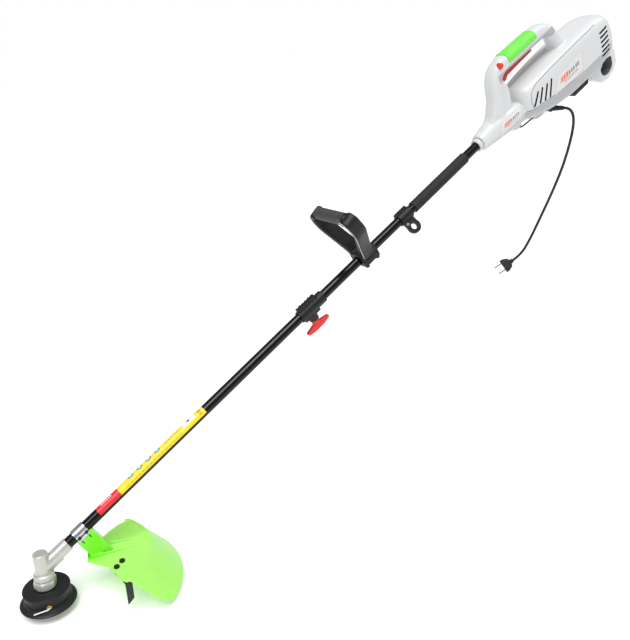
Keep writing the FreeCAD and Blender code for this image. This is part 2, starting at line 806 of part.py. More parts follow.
def make_front_handle():
    u = mm("handle_station")
    lean = Rotation(Vector(0, 1, 0), -mm("handle_lean"))
    frame = on_shaft(u, 0, 0, lean)
    rise = mm("handle_rise")
    half = mm("handle_half")
    block = Part.makeBox(42, 40, 15.7, Vector(u - 21, -20, 0.3))
    block = block.makeFillet(5, [edge for edge in block.Edges if is_upper_long_edge(edge, 16)])
    block.Placement = SHAFT
    loops = []
    for side in (-1, 1):
        points = [
            Vector(0, side * 13.5, 6),
            Vector(0, side * 27, 36),
            Vector(0, side * (half + 3), 88),
            Vector(0, side * (half + 2), rise),
            Vector(0, side * 43, rise),
        ]
        wire = rounded_path(points, [24, 30, 11])
        along = (points[1] - points[0]).normalize()
        section = rounded_rectangle(30, 12, 4)
        square = Vector(1, 0, 0).cross(along)
        section.Placement = Placement(points[0], Rotation(Vector(1, 0, 0), square, along))
        arm = wire.makePipeShell([section], True, True)
        arm.Placement = frame
        loops.append(arm)
    core = Part.makeCylinder(8.5, 88, Vector(0, -44, rise), Vector(0, 1, 0))
    core.Placement = frame
    shape = block.fuse(loops + [core])
    bore = Part.makeCylinder(mm("tube_d") / 2 + mm("running"), 80, Vector(u - 40, 0, 0), Vector(1, 0, 0))
    bore.Placement = SHAFT
    below = Part.makeBox(120, 120, 60, Vector(u - 60, -60, -59.7))
    below.Placement = SHAFT
    holes = [bore, below]
    for du, y in HANDLE_BOLTS:
        hole = Part.makeCylinder(2.02, 12, Vector(u + du, y, -1), Vector(0, 0, 1))
        hole.Placement = SHAFT
        holes.append(hole)
    node(feature(shape.cut(holes).removeSplitter()), "front_handle")

    grip_place = frame.multiply(Placement(Vector(0, -42.9, rise), TO_Y))
    node(ring(8.52, D.grip_r, 85.8, grip_place), "front_handle_grip")

    lower = box(42, 40, 12.2, on_shaft(u, 0, -12.5))
    bore = cylinder(D.tube_d / 2 + D.running, 60, along_shaft(u - 30))
    drills = [cylinder(2.02, 20, on_shaft(u + du, y, -18)) for du, y in HANDLE_BOLTS]
    node(cut(lower, bore, *drills), "front_handle_clamp")
    bolts = []
    for du, y in HANDLE_BOLTS:
        shank = cylinder(2, 24, on_shaft(u + du, y, -15))
        head = cylinder(4.4, 3.5, on_shaft(u + du, y, -16.02))
        bolts.append(fuse(shank, head))
    node(group(*bolts), "front_handle_bolts")


HANDLE_BOLTS = ((-15, -15.5), (15, -15.5), (-15, 15.5), (15, 15.5))


def is_upper_long_edge(edge, top):
    """True for the two top edges that run along X."""
    first, last = edge.Vertexes[0].Point, edge.Vertexes[-1].Point
    return abs(first.z - top) < 0.01 and abs(last.z - top) < 0.01 and abs(first.x - last.x) > 1


def make_hanger():
    reach = mm("hanger_reach")
    swing = Rotation(Vector(1, 0, 0), -mm("hanger_swing"))
    frame = on_shaft(mm("hanger_station"), 0, 0, swing)

    def along(u, y, v):
        return frame.multiply(Placement(Vector(u, y, v), TO_U))

    def through(u, y, v):
        return frame.multiply(Placement(Vector(u, y, v), TO_Y))

    band = cylinder(13.4, 34, along(-17, 0, 0))
    lobe = cylinder(15, 8, through(0, -4, -reach))
    bridge = box(28, 8, 16, frame.multiply(Placement(Vector(0, 0, -26), Rotation())))
    ears = box(30, 9, 5, frame.multiply(Placement(Vector(0, 0, 11), Rotation())))
    bore = cylinder(D.tube_d / 2 + D.fit, 40, along(-20, 0, 0))
    eye = cylinder(7, 12, through(0, -6, -reach))
    drill = cylinder(1.9, 12, through(-9.5, -6, -17.5))
    node(cut(fuse(band, lobe, bridge, ears), bore, eye, drill), "strap_hanger")
    shank = cylinder(1.88, 10, through(-9.5, -5, -17.5))
    head = cylinder(3.3, 2, through(-9.5, -6.02, -17.5))
    node(fuse(shank, head), "strap_screw")


def make_grips():
    tube_r = D.tube_d / 2
    length = D.foam_end - D.foam_start
    node(ring(tube_r + D.fit, D.foam_r, length, along_shaft(mm("foam_start"))), "shaft_grip")
    node(ring(tube_r + D.fit, 14.5, 9, along_shaft(mm("neck_station") - 9.05)), "neck_collar")


# ---------------------------------------------------------------------------------------------- rear housing

NECK_SECTIONS = ((1202, 19, -19, 19), (1250, 24, -25, 23), (1300, 20, -29, 25), (1345, 16, -34, 27))
BODY_SECTIONS = (
    (1335, 30, -30, 30),
    (1352, 42, -38, 40),
    (1420, 47, -56, 44),
    (1480, 48, -66, 45),
    (1560, 50, -68, 46),
    (1615, 50, -68, 46),
    (1650, 40, -60, 40),
    (1668, 18, -40, 26),
)
HANDLE_ROUTE = ((1272, -5), (1303, 111), (1495, 106), (1520, 0))
RELIEF_AT = Vector(1262, -3, 660.3)
CORD_EXIT = Vector(1310, -14, 658)
LEFT_SLOTS = ((1352, -7, 1374, 19), (1369, -10, 1389, 20), (1385, -13, 1405, 19), (1401, -16, 1421, 21))
POSTS = ((1236, -18), (1292, 45), (1507, 80), (1424, 34), (1430, -42), (1500, -54), (1606, 36), (1606, -50))


def station_loft(sections, inset, corner):
    """A solid through rounded-rectangle sections square to the shaft, drawn smaller all round by an inset."""
    wires = []
    for index, (u, top, bottom, half) in enumerate(sections):
        end_shift = inset if index == 0 else -inset if index == len(sections) - 1 else 0
        height = top - bottom - 2 * inset
        width = 2 * (half - inset)
        radius = max(min(corner * min(height, width) / 2, height / 2 - 0.5, width / 2 - 0.5), 1)
        wire = rounded_rectangle(height, width, radius)
        middle = Vector(u + end_shift, 0, (top + bottom) / 2)
        facing_up_shaft = Rotation(Vector(0, 0, -1), Vector(0, 1, 0), Vector(1, 0, 0), "ZXY")
        wire.Placement = Placement(middle, facing_up_shaft)
        wires.append(wire)
    return Part.makeLoft(wires, True, True)


def handle_sweep(inset):
    """The rear handle's bar and posts, as one swept solid."""
    points = [Vector(u, 0, v) for u, v in HANDLE_ROUTE]
    wire = rounded_path(points, [26, 26])
    depth = 2 * (mm("bar_half") - inset)
    width = mm("bar_width") - 2 * inset
    section = rounded_rectangle(depth, width, 13 - inset)
    along = (points[1] - points[0]).normalize()
    across = Vector(0, 1, 0)
    section.Placement = Placement(points[0], Rotation(along.cross(across) * -1, across, along, "ZYX"))
    return wire.makePipeShell([section], True, True)


def housing_solid(inset):
    neck = station_loft(NECK_SECTIONS, inset, 0.8)
    body = station_loft(BODY_SECTIONS, inset, 0.7)
    gusset_points = [Vector(u, 0, v) for u, v in ((1225, 15), (1276, 82), (1330, 60), (1300, 10))]
    gusset = Part.Face(Part.makePolygon(gusset_points + gusset_points[:1]))
    half = 15 - inset
    gusset = gusset.extrude(Vector(0, 2 * half, 0))
    gusset.translate(Vector(0, -half, 0))
    boss = Part.makeBox(58, 34, 40, Vector(1366, -17, -62))
    if inset:
        boss = Part.makeBox(58 - 2 * inset, 34 - 2 * inset, 40, Vector(1366 + inset, -17 + inset, -62 + inset))
    return neck.fuse([body, handle_sweep(inset), gusset, boss])


def along_u(radius, start, end):
    return Part.makeCylinder(radius, end - start, Vector(start, 0, 0), Vector(1, 0, 0))


def make_housing():
    wall = mm("shell")
    outer = housing_solid(0)
    inner = housing_solid(wall)
    fit = mm("fit")
    tube_r = mm("tube_d") / 2 + fit
    ribs = []
    for start, end, bore in (
        (1212, 1218, tube_r),
        (1252, 1258, tube_r),
        (1471, 1479, 11 + fit),
        (1629, 1636, 11 + fit),
        (1528, 1534, mm("stator_r") + fit),
        (1575, 1581, mm("stator_r") + fit),
    ):
        slab = Part.makeBox(end - start, 120, 112, Vector(start, -60, -70)).common(inner)
        ribs.append(slab.cut(along_u(bore, start - 1, end + 1)))
    holes = [along_u(tube_r, 1190, 1215)]
    for u, v in POSTS:
        post = Part.makeCylinder(4.2, 120, Vector(u, -60, v), Vector(0, 1, 0)).common(inner)
        ribs.append(post)
        holes.append(Part.makeCylinder(1.72, 42, Vector(u, -12, v), Vector(0, 1, 0)))
        holes.append(Part.makeCylinder(3.4, 60, Vector(u, 11, v), Vector(0, 1, 0)))
    for side in (-1, 1):
        pivot_boss = Part.makeCylinder(4, 10, Vector(1424, side * 11.5 - 5, 98), Vector(0, 1, 0))
        ribs.append(pivot_boss.common(inner))
    shell = outer.cut(inner).fuse(ribs)
    holes.append(Part.makeCylinder(1.62, 30, Vector(1424, -15, 98), Vector(0, 1, 0)))
    holes.append(Part.makeBox(116, 13.2, 14, Vector(1315, -6.6, 86)))
    holes.append(Part.makeCylinder(6.3, 20, Vector(1317, -24, 117.4), Vector(0, 1, 0)))
    for u0, v0, u1, v1 in LEFT_SLOTS:
        run = Vector(u1 - u0, 0, v1 - v0)
        slot = Part.makeBox(run.Length, 120, 5, Vector(0, -60, -2.5))
        slot.Placement = Placement(
            Vector(u0, 0, v0), Rotation(Vector(0, -1, 0), math.degrees(math.atan2(run.z, run.x)))
        )
        holes.append(slot)
    for index in range(6):
        holes.append(Part.makeBox(40, 120, 5, Vector(1596, -60, 15.5 - 11 * index)))
    start = SHAFT_INVERSE.multVec(CROSSING + RELIEF_AT)
    holes.append(Part.makeCylinder(7.6, 50, start, RELIEF_WAY))
    holes.append(Part.makeCylinder(10.6, 3.2, start + RELIEF_WAY * 10.9, RELIEF_WAY))
    shell = shell.cut(holes)
    for side, name in ((-1, "housing_left"), (1, "housing_right")):
        corner = Vector(1150, -80 if side < 0 else 0, -150)
        half = shell.common(Part.makeBox(600, 80, 400, corner)).removeSplitter()
        node(placed(largest(half), SHAFT), name)
    return outer


def largest(shape):
    """The biggest solid of a shape; loose slivers left by the slots are dropped."""
    return max(shape.Solids, key=lambda solid: solid.Volume)


SHAFT_INVERSE = SHAFT.inverse()
RELIEF_WAY = SHAFT_INVERSE.Rotation.multVec(CORD_EXIT - RELIEF_AT).normalize()


def make_housing_trim(outer):
    grown = handle_sweep(-1.4)
    zone = Part.makeBox(98, 60, 60, Vector(1343, -30, 108))
    node(placed(grown.common(zone).cut(handle_sweep(0)), SHAFT), "grip_insert")

    plate_skin = station_loft(BODY_SECTIONS, -0.7, 0.7)
    outline = [Vector(u, 0, v) for u, v in ((1430, -24), (1436, 12), (1530, 20), (1524, -22))]
    window = Part.Face(Part.makePolygon(outline + outline[:1])).extrude(Vector(0, -80, 0))
    plate = plate_skin.cut(outer).common(window)
    node(placed(largest(plate), SHAFT), "label_plate")

    screws = []
    for u, v in POSTS:
        shank = cylinder(1.7, 23, across_shaft(u, -11.5, v))
        head = cylinder(3.2, 3, across_shaft(u, 11.02, v))
        screws.append(fuse(shank, head))
    node(group(*screws), "housing_screws")

    outline = [(1674, -48), (1680, -72), (1678, -96), (1664, -112), (1637, -119), (1610, -115), (1578, -88)]
    outline += [(1585, -52), (1640, -30)]
    opening = [(1660, -74), (1633, -74), (1618, -84), (1622, -100), (1637, -104), (1655, -99)]
    pocket = extruded_side(opening, 14)
    pocket.translate(Vector(0, -6, 0))
    solid = extruded_side(outline, 17).cut(pocket)
    skid = solid.cut(outer.fuse(Part.makeBox(30, 80, 40, Vector(1640, -40, -20))))
    node(placed(largest(skid), SHAFT), "rear_skid")

    bar = [(1494, -60), (1498, -77), (1552, -78), (1560, -60)]
    foot = extruded_side(bar, 26).cut(outer)
    node(placed(largest(foot), SHAFT), "base_pad")

    hook = [(1298, -24), (1303, -38), (1320, -46), (1352, -48), (1376, -46), (1376, -42), (1350, -42)]
    hook += [(1322, -39), (1312, -34), (1312, -24)]
    node(placed(largest(extruded_side(hook, 5).cut(outer)), SHAFT), "cord_hook")


def extruded_side(points, half):
    """A side outline in shaft stations, extruded to both sides of the middle plane."""
    corners = [Vector(u, -half, v) for u, v in points]
    return Part.Face(Part.makePolygon(corners + corners[:1])).extrude(Vector(0, 2 * half, 0))


def make_controls():
    profile = [(0, 98), (-1, 86), (2, 78), (8, 73.5), (15, 75), (21, 80.5), (60, 82), (110, 84)]
    profile += [(112, 96), (102, 104), (22, 104)]
    lever = padded([(a, b) for a, b in profile], 12, on_shaft(1318), "XZ_Plane", True)
    drill = cylinder(1.65, 20, across_shaft(1424, -10, 98))
    node(cut(lever, drill), "trigger")
    node(cylinder(1.6, 29, across_shaft(1424, -14.5, 98)), "trigger_pin")
    node(box(27, 18, 13.4, on_shaft(1398, 0, 107)), "switch_body")
    cap = cylinder(5.9, 12, across_shaft(1317, -21, 117.4))
    collar = cylinder(6.7, 1.5, across_shaft(1318, -9, 116.4))
    node(fuse(cap, collar), "lockout_button")


def make_motor():
    field = ring(23.5, D.stator_r, 60, along_shaft(1525))
    node(field, "motor_stator")
    spindle = cylinder(D.armature_r, 196, along_shaft(1442))
    core = cylinder(D.core_r, 50, along_shaft(1530))
    commutator = cylinder(12, 16, along_shaft(1601))
    node(fuse(spindle, core, commutator), "motor_armature")
    hub = ring(D.armature_r, 9, 16, along_shaft(1491))
    disc = ring(8, 34, 2, along_shaft(1505))
    blades = []
    for index in range(11):
        turn = Rotation(Vector(1, 0, 0), 360 * index / 11)
        place = on_shaft(1498, 0, 0, turn).multiply(Placement(Vector(0, 0, 8.5), Rotation()))
        blades.append(box(13, 1.6, 25, place))
    spread = cylinder(34, 20, along_shaft(1489))
    blade_ring = DOC.addObject("Part::MultiCommon", "blades")
    blade_ring.Shapes = [fuse(*blades), spread]
    node(fuse(hub, disc, blade_ring), "motor_fan")
    front = ring(D.armature_r + D.running, 11, 9, along_shaft(1470.5))
    rear = ring(D.armature_r + D.running, 11, 8, along_shaft(1628.5))
    node(group(front, rear), "motor_bearings")
    brushes = [box(9, 12, 6, on_shaft(1609, side * 18.2, -3)) for side in (-1, 1)]
    node(group(*brushes), "carbon_brushes")
    joint = cylinder(8, 22, along_shaft(1432))
    low_bore = cylinder(D.drive_r, 8, along_shaft(1430))
    high_bore = cylinder(D.armature_r, 14, along_shaft(1442))
    node(cut(joint, low_bore, high_bore), "motor_coupling")


# ---------------------------------------------------------------------------------------------- cord

PLUG_WAY = Vector(-31, 22, -26.5).normalize()
PIN_ROW = Vector(-0.45, 0.35, 0.82)
CORD_END = Vector(1229, 43, 294)
CORD_POINTS = (
    CORD_EXIT,
    CORD_EXIT + (CORD_EXIT - RELIEF_AT).normalize() * 16.5,
    Vector(1336.5, -24, 643),
    Vector(1337, -27, 618),
    Vector(1330, -26, 578),
    Vector(1318, -19, 521),
    Vector(1300, -7, 460),
    Vector(1280, 8, 398),
    Vector(1262, 20, 346),
    CORD_END - PLUG_WAY * 24,
    CORD_END,
)


def bend_radii(points):
    """Arc radii for a cord route: 0.45 of the shorter run over the tangent of half the turn."""
    radii = []
    for before, corner, after in zip(points, points[1:], points[2:]):
        back = corner - before
        ahead = after - corner
        half_turn = back.getAngle(ahead) / 2
        radii.append(0.45 * min(back.Length, ahead.Length) / math.tan(half_turn))
    return radii


def make_cord():
    way = (CORD_EXIT - RELIEF_AT).normalize()
    turn = Rotation(Vector(0, 0, 1), way)
    length = (CORD_EXIT - RELIEF_AT).Length
    place = Placement(CROSSING + RELIEF_AT, turn)
    boot = cone(7.4, 4.9, length - 0.5, place)
    flange = cylinder(10.5, 3, place.multiply(Placement(Vector(0, 0, 11), Rotation())))
    node(fuse(boot, flange, cylinder(4.6, length, place)), "strain_relief")

    points = [CROSSING + point for point in CORD_POINTS]
    radii = bend_radii(points)
    cord = round_bar(points, radii, mm("cord_d") / 2)
    run = sum((b - a).Length for a, b in zip(points, points[1:]))
    print("cord route", round(run, 1), "radii", [round(radius, 1) for radius in radii])
    print("cord volume / section", round(cord.Volume / (math.pi * (mm("cord_d") / 2) ** 2), 1))
    node(feature(cord), "power_cord")

    axis = PLUG_WAY
    row = (PIN_ROW - axis * PIN_ROW.dot(axis)).normalize()
    side = axis.cross(row)
    turn = Rotation(row, side, axis, "ZXY")
    place = Placement(points[-1], turn)
    sections = []
    for z, width, depth in ((0, 10, 10), (6, 12, 11), (9, 24, 13), (20, 35, 15), (28, 36, 15)):
        wire = rounded_rectangle(width, depth, depth / 2 - 0.6)
        wire.translate(Vector(0, 0, z))
        sections.append(wire)
    body = Part.makeLoft(sections, True, True)
    node(placed(body, place), "plug_body")
    pins = []
    half_gap = D.pin_gap / 2
    for sign in (-1, 1):
        shift = Placement(Vector(sign * half_gap.value, 0, 28), Rotation())
        pins.append(cylinder(D.pin_r, 19, place.multiply(shift)))
    node(group(*pins), "plug_pins")


# ---------------------------------------------------------------------------------------------- build


def build():
    make_gear_case()
    make_gears()
    make_adapter()
    make_spool_head()
    make_guard()
    make_cutter(make_guard_clamp())
    make_tubes()
    make_drive()
    make_coupler()
    make_front_handle()
    make_hanger()
    make_grips()
    outer = make_housing()
    make_housing_trim(outer)
    make_controls()
    make_motor()
    make_cord()


def check_and_write():
    DOC.recompute()
    for obj in DOC.Objects:
        if "Invalid" in obj.State or "Error" in obj.State:
            raise RuntimeError(f"{obj.Name} did not recompute: {obj.State}")
    os.makedirs("parts", exist_ok=True)
    for obj in NODES:
        shape = obj.Shape
        if shape.isNull() or not shape.isValid():
            raise RuntimeError(f"{obj.Label} has no valid shape")
        shape.exportStep(os.path.join("parts", obj.Label + ".step"))
    print(len(NODES), "parts written")


build()
check_and_write()
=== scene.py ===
"""Looks of the corded string trimmer: camera, light, materials and the finished pieces.

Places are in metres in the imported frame; helpers take shaft stations in millimetres, as the CAD does.
"""
import math

import bmesh
import bpy
from mathutils import Matrix, Vector
from mathutils.bvhtree import BVHTree


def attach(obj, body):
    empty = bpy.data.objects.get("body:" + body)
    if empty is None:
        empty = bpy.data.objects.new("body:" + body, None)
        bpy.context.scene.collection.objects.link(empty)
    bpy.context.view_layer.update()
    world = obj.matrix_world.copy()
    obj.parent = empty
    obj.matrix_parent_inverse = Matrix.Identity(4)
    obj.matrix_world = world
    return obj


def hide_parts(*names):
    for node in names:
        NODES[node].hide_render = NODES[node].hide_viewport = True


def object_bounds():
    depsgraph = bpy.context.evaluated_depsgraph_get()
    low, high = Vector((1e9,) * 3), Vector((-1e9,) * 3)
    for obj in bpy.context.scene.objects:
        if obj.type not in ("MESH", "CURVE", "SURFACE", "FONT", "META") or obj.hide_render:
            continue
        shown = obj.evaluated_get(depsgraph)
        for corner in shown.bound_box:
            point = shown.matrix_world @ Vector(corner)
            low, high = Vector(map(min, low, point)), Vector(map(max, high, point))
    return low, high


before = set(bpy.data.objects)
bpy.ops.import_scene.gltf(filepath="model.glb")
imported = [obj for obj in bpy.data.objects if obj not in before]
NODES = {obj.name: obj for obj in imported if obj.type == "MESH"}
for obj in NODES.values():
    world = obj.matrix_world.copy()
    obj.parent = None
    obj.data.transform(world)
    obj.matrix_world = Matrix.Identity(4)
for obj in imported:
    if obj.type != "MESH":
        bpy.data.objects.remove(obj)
CAD_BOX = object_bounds()

# ---------------------------------------------------------------------------------------------- places

RISE = math.radians(30)
SWING = math.radians(36.5)
EYELET = Vector((0.950, -0.029 * math.sin(SWING), -0.029 * math.cos(SWING)))
SHAFT_TURN = Matrix.Rotation(-RISE, 4, "Y")
CROSSING = -(SHAFT_TURN @ EYELET)
MM = Matrix.Scale(0.001, 4)
SHAFT = Matrix.Translation(CROSSING) @ SHAFT_TURN @ MM
HEAD = Matrix.Translation(CROSSING) @ MM
UP_SHAFT = Matrix.Rotation(math.radians(90), 4, "Y")
TO_Y = Matrix.Rotation(math.radians(-90), 4, "X")


def on_shaft(u=0.0, y=0.0, v=0.0):
    """Shaft stations in millimetres: u up the shaft, y across, v square to the shaft."""
    return SHAFT @ Matrix.Translation((u, y, v))


def along_shaft(u=0.0, y=0.0, v=0.0):
    """Local Z runs up the shaft."""
    return on_shaft(u, y, v) @ UP_SHAFT


# ---------------------------------------------------------------------------------------------- camera, light


def add_camera():
    azimuth = math.radians(-35.15)
    elevation = math.radians(19.91)
    roll = math.radians(-2.41)
    back = Vector(
        (
            math.sin(azimuth) * math.cos(elevation),
            -math.cos(azimuth) * math.cos(elevation),
            math.sin(elevation),
        )
    )
    right = Vector((math.cos(azimuth), math.sin(azimuth), 0))
    up = back.cross(right)
    c, s = math.cos(roll), math.sin(roll)
    right, up = right * c + up * s, up * c - right * s
    data = bpy.data.cameras.new("camera")
    data.lens = 41.4
    data.sensor_width = 36
    data.clip_end = 60
    camera = bpy.data.objects.new("camera", data)
    turn = Matrix((right, up, back)).transposed().to_4x4()
    camera.matrix_world = Matrix.Translation(HEAD @ Vector((-204.7, -1122.2, 801.0))) @ turn
    bpy.context.scene.collection.objects.link(camera)
    bpy.context.scene.camera = camera


def add_world():
    """Even studio light, and a white backdrop where the camera looks past the floor."""
    world = bpy.data.worlds.new("studio")
    bpy.context.scene.world = world
    world.use_nodes = True
    tree = world.node_tree
    soft = tree.nodes["Background"]
    soft.inputs["Color"].default_value = (0.95, 0.97, 1.0, 1)
    soft.inputs["Strength"].default_value = 0.36
    white = tree.nodes.new("ShaderNodeBackground")
    white.inputs["Color"].default_value = (1, 1, 1, 1)
    seen = tree.nodes.new("ShaderNodeLightPath")
    choose = tree.nodes.new("ShaderNodeMixShader")
    tree.links.new(seen.outputs["Is Camera Ray"], choose.inputs["Fac"])
    tree.links.new(soft.outputs["Background"], choose.inputs[1])
    tree.links.new(white.outputs["Background"], choose.inputs[2])
    tree.links.new(choose.outputs["Shader"], tree.nodes["World Output"].inputs["Surface"])


def add_key():
    data = bpy.data.lights.new("key", "SUN")
    data.energy = 2.4
    data.angle = math.radians(38)
    light = bpy.data.objects.new("key", data)
    light.rotation_euler = Vector((-0.30, -0.28, 0.91)).to_track_quat("Z", "Y").to_euler()
    bpy.context.scene.collection.objects.link(light)


def add_strip(middle):
    """A long narrow light parallel to the shaft, for the sharp line of light on the tubes."""
    data = bpy.data.lights.new("strip", "AREA")
    data.energy = 11
    data.shape = "RECTANGLE"
    data.size = 0.05
    data.size_y = 3.4
    light = bpy.data.objects.new("strip", data)
    away = Vector((0.28, -0.289, 0.915)).normalized()
    along = (SHAFT.to_3x3() @ Vector((1, 0, 0))).normalized()
    across = along.cross(away).normalized()
    along = away.cross(across)
    turn = Matrix((across, along, away)).transposed().to_4x4()
    light.matrix_world = Matrix.Translation(middle + away * 1.9) @ turn
    bpy.context.scene.collection.objects.link(light)


def add_studio():
    add_world()
    add_key()
    add_strip((CAD_BOX[0] + CAD_BOX[1]) / 2)
    floor_mesh = bpy.data.meshes.new("floor")
    low = CAD_BOX[0].z - 0.002
    reach = 40
    corners = [(-reach, -reach, low), (reach, -reach, low), (reach, reach, low), (-reach, reach, low)]
    floor_mesh.from_pydata(corners, [], [(0, 1, 2, 3)])
    floor = bpy.data.objects.new("floor", floor_mesh)
    bpy.context.scene.collection.objects.link(floor)
    paper = surface("floor", (0.90, 0.90, 0.90), (0.93, 0.93, 0.93), (0.8, 0.9), 2, 0)
    shader = paper.node_tree.nodes["Principled BSDF"]
    shader.inputs["Emission Color"].default_value = (1, 1, 1, 1)
    shader.inputs["Emission Strength"].default_value = 0.24
    floor_mesh.materials.append(paper)
    bpy.context.scene.view_settings.view_transform = "Standard"


# ---------------------------------------------------------------------------------------------- materials


def surface(name, low, high, rough, scale, bump, grain=900, metallic=0.0, specular=0.5,
            stretch=(1, 1, 1), tone_and_shade=None):
    """A procedural material: mottled colour, uneven roughness and a fine grain in the normal."""
    mat = bpy.data.materials.new(name)
    mat.use_nodes = True
    tree = mat.node_tree
    shader = tree.nodes["Principled BSDF"]
    shader.inputs["Metallic"].default_value = metallic
    shader.inputs["Specular IOR Level"].default_value = specular

    def add(kind, **values):
        item = tree.nodes.new(kind)
        for key, value in values.items():
            item.inputs[key].default_value = value
        return item

    def link(a, b):
        tree.links.new(a, b)

    place = add("ShaderNodeTexCoord")
    mapping = add("ShaderNodeMapping", Scale=stretch)
    link(place.outputs["Object"], mapping.inputs["Vector"])
    mottle = add("ShaderNodeTexNoise", Scale=scale, Detail=4.0, Roughness=0.6)
    fine = add("ShaderNodeTexNoise", Scale=grain, Detail=3.0, Roughness=0.55)
    link(mapping.outputs["Vector"], mottle.inputs["Vector"])
    link(mapping.outputs["Vector"], fine.inputs["Vector"])
    colour = add("ShaderNodeMix")
    colour.data_type = "RGBA"
    colour.inputs["A"].default_value = (*low, 1)
    colour.inputs["B"].default_value = (*high, 1)
    link(mottle.outputs["Fac"], colour.inputs["Factor"])
    result = colour.outputs["Result"]
    # Mixes in the darker colour by the attribute; on the housing this is partly painted shade.
    if tone_and_shade:
        attribute = add("ShaderNodeAttribute")
        attribute.attribute_name = "tone_and_shade"
        shade = add("ShaderNodeMix")
        shade.data_type = "RGBA"
        shade.inputs["B"].default_value = (*tone_and_shade, 1)
        link(attribute.outputs["Fac"], shade.inputs["Factor"])
        link(result, shade.inputs["A"])
        result = shade.outputs["Result"]
    link(result, shader.inputs["Base Color"])
    spread = add("ShaderNodeMapRange")
    spread.inputs["To Min"].default_value = rough[0]
    spread.inputs["To Max"].default_value = rough[1]
    link(mottle.outputs["Fac"], spread.inputs["Value"])
    link(spread.outputs["Result"], shader.inputs["Roughness"])
    if bump:
        relief = add("ShaderNodeBump", Strength=bump, Distance=0.0003)
        link(fine.outputs["Fac"], relief.inputs["Height"])
        link(relief.outputs["Normal"], shader.inputs["Normal"])
    return mat


